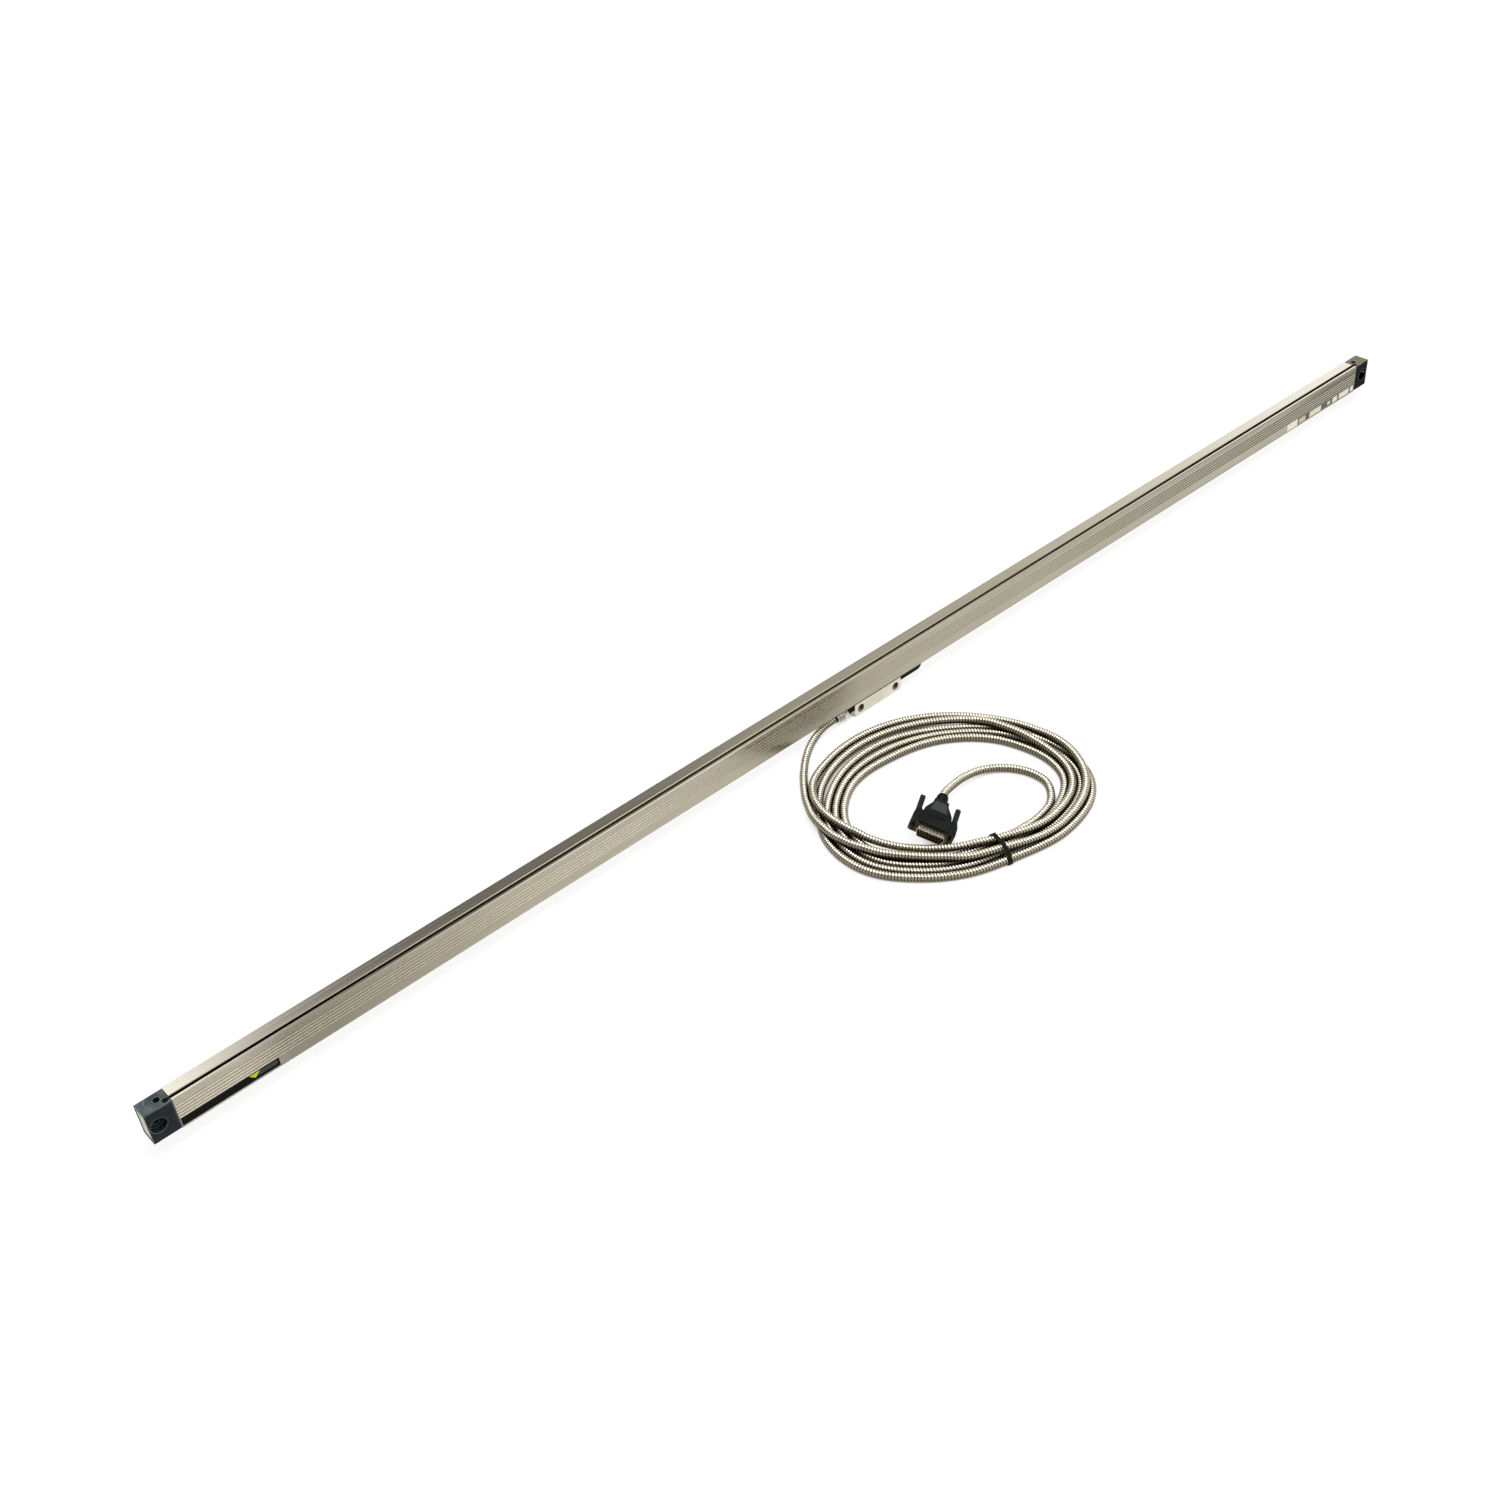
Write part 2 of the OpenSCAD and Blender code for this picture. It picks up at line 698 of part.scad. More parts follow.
// Ring of points round a route point, square to the route there
function unit(v) = v / norm(v);
function heading_at(p, i) =
    unit(p[min(i + 1, len(p) - 1)] - p[max(i - 1, 0)]);
function ring_at(c, d, r, n) =
    let (side = unit(cross(d, [0, 0, 1])), up = cross(side, d))
    [for (k = [0 : n - 1]) c + r * (side * cos(360 * k / n) + up * sin(360 * k / n))];
// Catmull-Rom point between p[i] and p[i + 1]
function on_curve(p, i, t) =
    let (a = p[max(i - 1, 0)], b = p[i], c = p[i + 1], d = p[min(i + 2, len(p) - 1)])
    0.5 * (2 * b + (c - a) * t + (2 * a - 5 * b + 4 * c - d) * t * t
        + (3 * b - a - 3 * c + d) * t * t * t);
function curve(p, step) = concat(
    [for (i = [0 : len(p) - 2]) for (j = [0 : step - 1]) on_curve(p, i, j / step)],
    [p[len(p) - 1]]);

module tube(route, r, n = 12) {
    c = curve(route, 2);
    m = len(c);
    points = [for (i = [0 : m - 1]) each ring_at(c[i], heading_at(c, i), r, n)];
    sides = [for (i = [0 : m - 2]) for (k = [0 : n - 1])
        [i * n + k, i * n + (k + 1) % n, (i + 1) * n + (k + 1) % n, (i + 1) * n + k]];
    first = [for (k = [0 : n - 1]) n - 1 - k];
    last = [for (k = [0 : n - 1]) (m - 1) * n + k];
    polyhedron(points, concat([first, last], [for (f = sides) [f[0], f[1], f[2]]],
        [for (f = sides) [f[0], f[2], f[3]]]));
}

module cable_lead() { color(col_steel) tube(lead_route, cable_r); }
module cable_tail() { color(col_steel) tube(tail_route, cable_r); }

// Ring of the wound turns, drawn in by a margin on every side
module coil_ring(margin) {
    lo = [coil_inner_r + margin, margin];
    hi = [coil_outer_r - margin, coil_height - margin];
    r = cable_r - margin;
    rotate_extrude($fn = 96) {
        translate([lo.x + r, lo.y]) square([hi.x - lo.x - 2 * r, hi.y - lo.y]);
        translate([lo.x, lo.y + r]) square([hi.x - lo.x, hi.y - lo.y - 2 * r]);
        for (x = [lo.x + r, hi.x - r]) for (y = [lo.y + r, hi.y - r])
            translate([x, y]) circle(r, $fn = 32);
    }
}

module tie_slab() {
    rotate([0, 0, tie_angle]) translate([coil_inner_r - 10, -tie_w / 2, -10])
        cube([coil_outer_r - coil_inner_r + 20, tie_w, coil_height + 20]);
}

module tie_band() {
    intersection() {
        difference() {
            coil_ring(0);
            coil_ring(tie_t);
        }
        tie_slab();
    }
}

module cable_coil() {
    color(col_steel) translate(coil_mid) difference() {
        coil_ring(0);
        tie_band();
    }
}

module cable_tie() {
    color(col_black) translate(coil_mid) union() {
        tie_band();
        // Locking head on the outside of the bundle
        rotate([0, 0, tie_angle]) translate([coil_outer_r - 0.6, -tie_w / 2, 5])
            cube([4.6, tie_w, 5]);
    }
}

// ---- Plug ----

module at_plug() {
    translate(plug_pos) rotate([plug_roll, 0, plug_heading]) children();
}

// D outline in the Y-Z plane, wide side up, drawn in by a margin
function d_outline(w, h, r, m = 0) =
    let (drop = h * tan(dshell_lean), a = dshell_lean, y1 = w / 2 - r, y0 = y1 - drop,
        z1 = h / 2 - r, z0 = -h / 2 + r)
    concat(arc([y1, z1], r - m, -a, 90), arc([-y1, z1], r - m, 90, 180 + a),
        arc([-y0, z0], r - m, 180 + a, 270), arc([y0, z0], r - m, 270, 360 - a));

module thumb_holes(x0, x1, r) {
    for (s = [-1, 1]) rod_x([x0, s * screw_pitch / 2, 0], r, x1 - x0);
}

module plug_shell() {
    d = d_outline(dshell_w, dshell_h, dshell_r);
    inner = d_outline(dshell_w, dshell_h, dshell_r, dshell_t);
    color(col_silver) at_plug() difference() {
        union() {
            along_x(-flange_t, 0) polygon(round_rect([-flange_w / 2, -flange_h / 2],
                [flange_w / 2, flange_h / 2], 1.5));
            along_x(-flange_t - dshell_len, -flange_t + eps) polygon(d);
        }
        along_x(-flange_t - dshell_len - 1, 1) polygon(inner);
        thumb_holes(-flange_t - 1, 1, thumb_d / 2 + 0.3);
    }
}

// Pin positions: a row of eight over a row of seven
pin_places = concat([for (i = [0 : 7]) [(i - 3.5) * pin_pitch, pin_row_gap / 2]],
    [for (i = [0 : 6]) [(i - 3) * pin_pitch, -pin_row_gap / 2]]);

module plug_insulator() {
    color(col_black) at_plug() difference() {
        along_x(-flange_t - 0.4, hood_pocket) polygon(d_outline(dshell_w, dshell_h, dshell_r, dshell_t));
        for (p = pin_places) rod_x([-3, p[0], p[1]], pin_r, 9);
    }
}

module plug_pins() {
    color(col_brass) at_plug() for (p = pin_places) {
        rod_x([-pin_tip, p[0], p[1]], pin_r, pin_tip + hood_pocket - 0.1);
        translate([-pin_tip, p[0], p[1]]) sphere(pin_r, $fn = 24);
    }
}

module plug_hood() {
    taper_end = hood_len - 6;
    color(col_black) at_plug() difference() {
        union() {
            // Plan outline: ears beside the screws, then a body that narrows to the neck
            intersection() {
                translate([0, 0, -hood_h / 2]) linear_extrude(hood_h) polygon(concat(
                    [[0, -hood_half], [hood_base_len, -hood_half]],
                    [[16, -18.6], [17, -14.2], [14, -13.2], [19, -12.4]],
                    [[taper_end, -7.2], [hood_len, -6.6], [hood_len, 6.6], [taper_end, 7.2]],
                    [[19, 12.4], [14, 13.2], [17, 14.2], [16, 18.6]],
                    [[hood_base_len, hood_half], [0, hood_half]]));
                // Side outline: slims towards the neck
                translate([0, 25, 0]) rotate([90, 0, 0]) linear_extrude(50)
                    polygon([[0, -7.1], [2, -hood_h / 2], [22, -hood_h / 2], [hood_len, -6],
                        [hood_len, 6], [22, hood_h / 2], [2, hood_h / 2], [0, 7.1]]);
                // The ears are thinner than the body
                union() {
                    block([-1, -13.4, -20], [50, 13.4, 20]);
                    block([-1, -21, -flange_h / 2], [50, 21, flange_h / 2]);
                }
            }
            // Raised panel on top of the body
            translate([0, 0, hood_h / 2 - 0.6]) linear_extrude(1)
                polygon([[12, -8.6], [21, -6.4], [21, 6.4], [12, 8.6]]);
        }
        along_x(-1, hood_pocket) polygon(d_outline(dshell_w, dshell_h, dshell_r, dshell_t));
        thumb_holes(-1, 30, thumb_d / 2 + 0.07);
        thumb_holes(12, 30, knob_d / 2 + 0.3);
    }
}

// Short ribbed neck between the hood and the cable
module plug_relief() {
    rib = 1.2;
    color(col_black) at_plug() translate([hood_len, 0, 0]) rotate([0, 90, 0]) difference() {
        union() {
            cylinder(r1 = neck_d / 2, r2 = neck_d / 2 - 1.4, h = relief_end - hood_len, $fn = 48);
            for (i = [0 : 3]) translate([0, 0, 1 + i * 2.6]) cylinder(d = neck_d - 0.5 * i, h = rib);
        }
        translate([0, 0, 6]) cylinder(r = cable_r, h = relief_end - hood_len);
    }
}

// Slim thumbscrew: threaded nose, shank through the hood, grooved knob behind
module thumbscrew(side) {
    color(col_black) at_plug() translate([0, side * screw_pitch / 2, 0]) rotate([0, 90, 0])
        difference() {
            union() {
                translate([0, 0, -6]) cylinder(d = thumb_d, h = knob_end);
                translate([0, 0, 12.4]) cylinder(d = knob_d, h = knob_end - 12.4);
            }
            for (k = [0 : 11]) rotate([0, 0, 30 * k])
                translate([knob_d / 2 + 0.15, 0, 24]) cylinder(r = 0.4, h = 12, $fn = 16);
            translate([-3, -0.4, knob_end - 0.8]) cube([6, 0.8, 2]);
        }
}

module thumbscrew_left() { thumbscrew(1); }
module thumbscrew_right() { thumbscrew(-1); }

housing();
glass_scale();
scale_bond();
lip_seal_front();
lip_seal_rear();
end_block_left();
end_block_right();
end_gasket_left();
end_gasket_right();
end_plate_left();
end_plate_right();
end_block_screws();
slot_stop_screws();
front_label();
rating_label();
head_block();
head_blade();
blade_screws();
head_cover_left();
head_cover_right();
cable_gland();
gland_nut();
carriage();
roller_pins();
coupling_wire();
reticle();
detector();
sensor_board();
light_board();
roller_1();
roller_2();
roller_3();
roller_4();
roller_5();
cable_lead();
cable_coil();
cable_tail();
cable_tie();
plug_hood();
plug_relief();
plug_shell();
plug_insulator();
plug_pins();
thumbscrew_left();
thumbscrew_right();
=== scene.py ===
# Looks of the sealed linear glass scale with its armoured signal cable.
# Everything is in metres in the row frame: +X along the scale, -Y the labelled front, +Z up.
import json
import math

import bmesh
import bpy
import numpy as np
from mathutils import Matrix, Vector
from mathutils.kdtree import KDTree


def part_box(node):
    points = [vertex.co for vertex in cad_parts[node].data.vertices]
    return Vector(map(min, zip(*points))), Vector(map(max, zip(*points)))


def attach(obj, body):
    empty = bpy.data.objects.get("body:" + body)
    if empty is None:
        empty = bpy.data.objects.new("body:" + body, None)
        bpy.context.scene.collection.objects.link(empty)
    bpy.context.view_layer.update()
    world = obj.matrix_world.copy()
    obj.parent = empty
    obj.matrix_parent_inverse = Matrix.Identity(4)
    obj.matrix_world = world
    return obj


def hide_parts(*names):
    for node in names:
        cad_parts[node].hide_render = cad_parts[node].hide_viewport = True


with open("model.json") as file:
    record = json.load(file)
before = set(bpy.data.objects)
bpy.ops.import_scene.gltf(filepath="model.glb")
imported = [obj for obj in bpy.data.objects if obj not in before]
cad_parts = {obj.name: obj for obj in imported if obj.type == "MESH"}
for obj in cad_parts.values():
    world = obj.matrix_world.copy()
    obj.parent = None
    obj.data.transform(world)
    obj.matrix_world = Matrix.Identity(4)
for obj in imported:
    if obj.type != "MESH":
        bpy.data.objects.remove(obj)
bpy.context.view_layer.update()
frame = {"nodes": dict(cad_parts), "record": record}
nodes = frame["nodes"]
MM = 0.001


# ---------------------------------------------------------------- camera

def make_camera():
    """The photograph's view: from the front left, looking down at the scale."""
    data = bpy.data.cameras.new("camera")
    data.sensor_width = 36
    data.lens = 44.265
    data.clip_start = 0.01
    camera = bpy.data.objects.new("camera", data)
    camera.location = (-0.9853, -1.0213, 1.0708)
    camera.rotation_euler = [math.radians(a) for a in (51.279, 4.258, -41.958)]
    bpy.context.scene.collection.objects.link(camera)
    bpy.context.scene.camera = camera


# ---------------------------------------------------------------- mesh helpers

def add_block(bm, middle, x_axis, y_axis, size):
    """A plain block in its own axes, its size in millimetres, to be rounded by the piece's bevel."""
    z_axis = x_axis.cross(y_axis)
    for v in bmesh.ops.create_cube(bm, size=1)["verts"]:
        c = v.co.copy()
        corner = x_axis * c.x * size[0] + y_axis * c.y * size[1] + z_axis * c.z * size[2]
        v.co = middle + corner * MM


def object_from(bm, name):
    """A new object in the scene with the mesh that was built in bm."""
    mesh = bpy.data.meshes.new(name)
    bm.to_mesh(mesh)
    bm.free()
    thing = bpy.data.objects.new(name, mesh)
    bpy.context.scene.collection.objects.link(thing)
    return thing


def bevel(thing, width):
    """Rounds the edges of a piece."""
    mod = thing.modifiers.new("edges", "BEVEL")
    mod.width = width
    mod.segments = 3
    mod.limit_method = "ANGLE"
    mod.angle_limit = math.radians(40)
    mod.harden_normals = False
    thing.data.shade_smooth()


# ---------------------------------------------------------------- cable

CABLE_D = 7.5 * MM
CABLE_R = CABLE_D / 2

# The route from the gland to the coil in millimetres, as the part's source has it up to the turns
LEAD = [(-68.5, -3.5, 7), (-82, -3.6, 6.6), (-95, -6, 5.2), (-109, -12, 4.2), (-123, -21, 3.8),
        (-138, -34, 3.8), (-152, -50, 3.8), (-165, -68, 3.8)]
# The route from the coil back to the plug
TAIL = [(-2, -206, 3.8), (-0.5, -192, 3.8), (-4.5, -176, 3.8), (-15, -161.5, 4), (-28, -153.5, 5),
        (-40, -150.7, 6.6), (-55, -150.5, 8.6), (-71, -153.4, 11)]
PLUG_POS = (-128 * MM, -184 * MM)
PLUG_Z = 12.88 * MM
PLUG_HEADING = math.radians(31)
PLUG_ROLL = math.radians(20)
RELIEF_END = 48 * MM
RELIEF_STRAIGHT = 5 * MM
RELIEF_INSIDE = 4 * MM

# How the five and a half turns lie round the middle of the coil: angle in degrees, radius and
# lift in millimetres. Each turn goes anticlockwise from TURN_START, the outer turns first.
COIL_MID = (-72.4, -146)
TURNS = [
    [(150, 119.5, 1), (165, 116, 6.5), (190, 104, 7.5), (212, 95, 7), (235, 95, 7), (256, 94.2, 7),
     (290, 110, 7.5), (320, 123, 8), (0, 114, 4), (40, 108, 1), (90, 109.5, 0), (112, 112.5, 0)],
    [(133, 116.5, 0), (152, 112, 2.5), (170, 102, 6.5), (190, 92.5, 2), (212, 85, 0), (235, 84, 4),
     (256, 86.6, 6.5), (290, 104, 7.5), (320, 116.5, 6.5), (0, 103, 2), (40, 97, 0), (90, 100, 0)],
    [(133, 110.5, 0), (150, 115, 0), (168, 122.5, 0), (193, 124, 0), (212, 116.5, 0), (235, 110, 0),
     (256, 105.5, 0), (290, 116, 0), (320, 128, 0), (0, 110, 0), (40, 89, 0), (90, 88.5, 0)],
    [(133, 100, 0), (165, 113.5, 0), (193, 116.3, 0), (212, 108.9, 0), (235, 102.3, 0), (256, 98, 0),
     (290, 110, 0), (320, 122, 0), (0, 101, 0), (40, 81.5, 0), (90, 78, 0)],
    [(133, 92, 0), (165, 105.5, 0), (193, 108.6, 0), (212, 101.3, 0), (235, 94.7, 0), (256, 90.4, 0),
     (290, 102.5, 0), (320, 112, 0), (0, 92, 0), (40, 74, 0), (90, 67.5, 0)],
    [(133, 84.5, 0), (165, 97.5, 0), (193, 100.9, 0), (212, 93.7, 0), (235, 87.1, 0), (256, 82.8, 0),
     (275, 86, 0), (290, 92, 0), (300, 95.5, 0), (310, 95.5, 0)]]
TURN_START = 133
TURN_STEP = 3
POINT_STEP = 6 * MM


def through(points, step):
    """A smooth line through a short list of points."""
    p = np.asarray(points, float)
    p = np.vstack([2 * p[0] - p[1], p, 2 * p[-1] - p[-2]])
    out = []
    for i in range(1, len(p) - 2):
        a, b, c, d = p[i - 1:i + 3]
        count = max(2, int(np.linalg.norm(c - b) / step))
        t = (np.arange(count) / count)[:, None]
        out.append(0.5 * (2 * b + (c - a) * t + (2 * a - 5 * b + 4 * c - d) * t ** 2
                          + (3 * b - a - 3 * c + d) * t ** 3))
    return np.vstack(out + [p[-2][None]])


def evenly(points, step):
    """The same line with points a fixed step apart."""
    s = np.r_[0, np.cumsum(np.linalg.norm(np.diff(points, axis=0), axis=1))]
    at = np.linspace(0, s[-1], int(round(s[-1] / step)) + 1)
    return np.stack([np.interp(at, s, points[:, i]) for i in range(3)], 1)


def coil_line():
    """The turns of the coil as one line, smooth in angle, with a point every few degrees."""
    keys = np.array([(360 * k + a + (360 if a < TURN_START else 0), r, lift)
                     for k, turn in enumerate(TURNS) for a, r, lift in turn], float)
    angle, value = keys[:, 0], keys[:, 1:]
    slope = np.gradient(value, angle, axis=0)
    t = np.arange(angle[0], angle[-1] + 0.01, TURN_STEP)
    j = np.clip(np.searchsorted(angle, t, side="right") - 1, 0, len(angle) - 2)
    h = (angle[j + 1] - angle[j])[:, None]
    u = (t - angle[j])[:, None] / h
    v = ((2 * u ** 3 - 3 * u ** 2 + 1) * value[j] + (u ** 3 - 2 * u ** 2 + u) * h * slope[j]
         + (3 * u ** 2 - 2 * u ** 3) * value[j + 1] + (u ** 3 - u ** 2) * h * slope[j + 1])
    a = np.radians(t)
    return np.stack([COIL_MID[0] * MM + v[:, 0] * MM * np.cos(a),
                     COIL_MID[1] * MM + v[:, 0] * MM * np.sin(a), CABLE_R + v[:, 1] * MM], 1)


def planned_route():
    """The whole route before it settles, from the gland to the plug's strain relief."""
    axis = np.array([math.cos(PLUG_HEADING), math.sin(PLUG_HEADING)])
    relief = [(*(np.array(PLUG_POS) + d * axis), PLUG_Z)
              for d in (RELIEF_END + RELIEF_STRAIGHT, RELIEF_END, RELIEF_END - RELIEF_INSIDE)]
    coil = coil_line()
    lead = np.array(LEAD) * MM
    tail = np.vstack([np.array(TAIL) * MM, relief])
    points = np.vstack([through(np.vstack([lead, coil[:1]]), POINT_STEP)[:-1], coil,
                        through(np.vstack([coil[-1:], tail]), POINT_STEP)[1:]])
    return evenly(points, POINT_STEP)


# How the turns settle: the cable's stiffness, and the points at each end that stay put
ROUNDS = 240
STIFFNESS = 30
HELD_FIRST = 14
HELD_LAST = 24
# Every so many rounds each point looks for points of other strands within reach
SEARCH_EVERY = 20
SEARCH_REACH = CABLE_D + 8 * MM
OWN_POINTS = 6
# What each round leaves of the way sideways from the planned route, and of the height over
# the floor
KEPT_ASIDE = 0.985
KEPT_HEIGHT = 0.96
# Strands that are nearer than this are pushed apart, a few times a round and a little too far
APART = CABLE_D + 0.05 * MM
PUSHES = 6
PUSH_GAIN = 1.2


def settle(route):
    """Lets the turns rest on the floor and on each other, one diameter apart, as a stiff cable
    does: what a point is pushed by is spread smoothly along the cable. The ends stay put."""
    rest = route.copy()
    count = len(rest)
    index = np.arange(count)
    free = (index >= HELD_FIRST) & (index < count - HELD_LAST)
    rest[free, 2] = CABLE_R
    bend = np.diff(np.eye(count), 2, axis=0)
    spread = np.linalg.inv(np.eye(count) + STIFFNESS * bend.T @ bend)
    now = route.copy()
    for turn in range(ROUNDS):
        if turn % SEARCH_EVERY == 0:
            gap = np.linalg.norm(now[:, None] - now[None], axis=2)
            far = np.abs(index[:, None] - index[None]) > OWN_POINTS
            a, b = np.where(np.triu(gap < SEARCH_REACH, 1) & far)
        moved = now - rest
        moved[:, :2] *= KEPT_ASIDE
        moved[:, 2] *= KEPT_HEIGHT
        moved = spread @ moved
        moved[~free] = 0
        now = rest + moved
        for _ in range(PUSHES):
            d = now[a] - now[b]
            length = np.linalg.norm(d, axis=1) + 1e-9
            near = length < APART
            push = (0.5 * (APART - length[near]) / length[near])[:, None] * d[near]
            total, hits = np.zeros_like(now), np.zeros(count)
            for ends, sign in ((a, 1), (b, -1)):
                np.add.at(total, ends[near], sign * push)
                np.add.at(hits, ends[near], 1)
            now[free] += PUSH_GAIN * (total / np.maximum(hits, 1)[:, None])[free]
            now[free, 2] = np.maximum(now[free, 2], CABLE_R)
    return now


RIDGE_PITCH = 2.75 * MM
# Radius of the wound strip across one pitch, as parts of the cable's own radius
RIDGE = (0.83, 0.95, 1.0, 1.0, 0.95)
# How much painted shade each of those steps gets in the gap between ridges
GROOVE = (1.0, 0.5, 0.0, 0.0, 0.35)
SIDES = 14
# A point this close to another strand is in the dark of the gap
CROWD = 2.6 * MM


def frames_along(points):
    """Two steady side directions at each point, without twist."""
    tangent = np.gradient(points, axis=0)
    tangent /= np.linalg.norm(tangent, axis=1)[:, None]
    side = np.zeros_like(points)
    side[0] = np.cross(tangent[0], (0, 0, 1))
    side[0] /= np.linalg.norm(side[0])
    for i in range(1, len(points)):
        v = side[i - 1] - tangent[i] * (side[i - 1] @ tangent[i])
        side[i] = v / np.linalg.norm(v)
    return side, np.cross(tangent, side)


def crowding(line, at, points, outward):
    """How deep each point of the tube lies in a gap between strands, 0 to 1. The line has a point
    every millimetre, so a point's number is its place along the cable in millimetres."""
    tree = KDTree(len(line))
    for i, p in enumerate(line):
        tree.insert(p, i)
    tree.balance()
    own = 4 * CABLE_D / MM
    out = np.zeros(at.shape)
    probe = points + outward * CROWD / 2
    for i, j in np.ndindex(at.shape):
        here = at[i, j] / MM
        found = tree.find_range(probe[i, j], CABLE_R + CROWD)
        near = [d for _, n, d in found if abs(n - here) > own]
        if near:
            out[i, j] = min(1.0, (CABLE_R + CROWD - min(near)) / CROWD)
    return out


def strip_wound(name, line):
    """A tube wound from one metal strip: its ridges climb round it as a single helix. Gives the
    tube and its centreline."""
    line = evenly(line, 1 * MM)
    side, other = frames_along(line)
    s = np.r_[0, np.cumsum(np.linalg.norm(np.diff(line, axis=0), axis=1))]
    step = RIDGE_PITCH / len(RIDGE)
    rings = int((s[-1] - RIDGE_PITCH) / step)
    k, j = np.meshgrid(np.arange(rings), np.arange(SIDES), indexing="ij")
    at = (k + len(RIDGE) * j / SIDES) * step
    look = [np.stack([np.interp(at, s, v[:, i]) for i in range(3)], 2) for v in (line, side, other)]
    radius = CABLE_R * np.array(RIDGE)[k % len(RIDGE)]
    turn = 2 * math.pi * j / SIDES
    outward = look[1] * np.cos(turn)[..., None] + look[2] * np.sin(turn)[..., None]
    points = look[0] + radius[..., None] * outward
    faces = []
    for row in range(rings - len(RIDGE) - 1):
        for col in range(SIDES):
            a, b = row * SIDES + col, (row + 1) * SIDES + col
            if col < SIDES - 1:
                faces.append((a, a + 1, b + 1, b))
            else:
                c, d = (row + len(RIDGE)) * SIDES, (row + 1 + len(RIDGE)) * SIDES
                faces.append((a, c, d, b))
    mesh = bpy.data.meshes.new(name)
    mesh.from_pydata(points.reshape(-1, 3).tolist(), [], faces)
    mesh.shade_smooth()
    # Values the material paints its shade and highlight from: the gap between ridges, how far the
    # surface faces up, and how crowded it is
    for attribute, value in (("groove", np.array(GROOVE)[k % len(GROOVE)]), ("up", outward[..., 2]),
                             ("crowd", crowding(line, at, points, outward))):
        layer = mesh.attributes.new(attribute, "FLOAT", "POINT")
        layer.data.foreach_set("value", np.asarray(value, float).ravel())
    tube = bpy.data.objects.new(name, mesh)
    bpy.context.scene.collection.objects.link(tube)
    return tube, line


# ---------------------------------------------------------------- cable tie

TIE_ANGLE = math.radians(254.3)
TIE_WIDTH = 3.6 * MM
TIE_THICK = 1.2 * MM
TIE_CLEARANCE = 0.1 * MM
TIE_POINTS = 72
CIRCLE_POINTS = 48
FLOOR_GAP = 0.05 * MM
# The lock: its size in millimetres, and how far its middle is from those of the top turns
LOCK_SIZE = (5.0, 4.8, 3.4)
LOCK_ASIDE = 3.4 * MM
LOCK_UP = 1.6 * MM


def hull_2d(points):
    """Convex outline of some points, anticlockwise."""
    points = sorted(map(tuple, points))
    out = []
    for run in (points, points[::-1]):
        part = []
        for p in run:
            while len(part) > 1 and ((part[-1][0] - part[-2][0]) * (p[1] - part[-2][1])
                                     - (part[-1][1] - part[-2][1]) * (p[0] - part[-2][0])) <= 0:
                part.pop()
            part.append(p)
        out += part[:-1]
    return out


def tie_loop(middles, radius):
    """The outline drawn tight round circles of one radius, as points evenly spread along it."""
    turn = np.linspace(0, 2 * math.pi, CIRCLE_POINTS, endpoint=False)
    circle = radius * np.stack([np.cos(turn), np.sin(turn)], 1)
    outline = np.array(hull_2d((middles[:, None] + circle).reshape(-1, 2)))
    mid = middles.mean(0)
    angle = np.arctan2(*(outline - mid).T[::-1])
    order = np.argsort(angle)
    angle, outline = angle[order], outline[order]
    at = np.linspace(-math.pi, math.pi, TIE_POINTS, endpoint=False)
    return np.stack([np.interp(at, angle, outline[:, i], period=2 * math.pi) for i in (0, 1)], 1)


def make_tie(line):
    """A nylon tie drawn tight round all the turns where they bunch, with its lock on top."""
    out = np.array([math.cos(TIE_ANGLE), math.sin(TIE_ANGLE)])
    mid = np.array(COIL_MID) * MM
    flat = line[:, :2] - mid
    across = flat @ np.array([-out[1], out[0]])
    hits = np.where((across[:-1] < 0) & (across[1:] >= 0) & (flat[:-1] @ out > 0))[0]
    w = (across[hits] / (across[hits] - across[hits + 1]))[:, None]
    crossing = line[hits] * (1 - w) + line[hits + 1] * w
    middles = np.stack([(crossing[:, :2] - mid) @ out, crossing[:, 2]], 1)
    inner = tie_loop(middles, CABLE_R + TIE_CLEARANCE)
    outer = tie_loop(middles, CABLE_R + TIE_CLEARANCE + TIE_THICK)
    outer[:, 1] = np.maximum(outer[:, 1], FLOOR_GAP)
    inner[:, 1] = np.maximum(inner[:, 1], FLOOR_GAP + 0.2 * TIE_THICK)
    along = Vector((-out[1], out[0], 0))

    def place(p, d):
        """A point of the loop in the row frame, moved by d along the cable."""
        return Vector((mid[0] + p[0] * out[0], mid[1] + p[0] * out[1], p[1])) + along * d

    bm = bmesh.new()
    rings = []
    for loop, d in ((inner, -1), (outer, -1), (outer, 1), (inner, 1)):
        rings.append([bm.verts.new(place(p, d * TIE_WIDTH / 2)) for p in loop])
    for a, b in zip(rings, rings[1:] + rings[:1]):
        for i in range(TIE_POINTS):
            j = (i + 1) % TIE_POINTS
            bm.faces.new((a[i], a[j], b[j], b[i]))
    # The lock sits at the top of the inner side
    high = middles[middles[:, 1] > 2 * CABLE_R]
    lock = place((high[:, 0].min() - LOCK_ASIDE, high[:, 1].max() + LOCK_UP), 0)
    lean = Vector((out[0], out[1], 1)).normalized()
    add_block(bm, lock, lean, along, LOCK_SIZE)
    bmesh.ops.recalc_face_normals(bm, faces=bm.faces)
    tie = object_from(bm, "tie_strap")
    bevel(tie, 0.35 * MM)
    return tie


# ---------------------------------------------------------------- right head cover

COVER_HEIGHT = 6.1 * MM


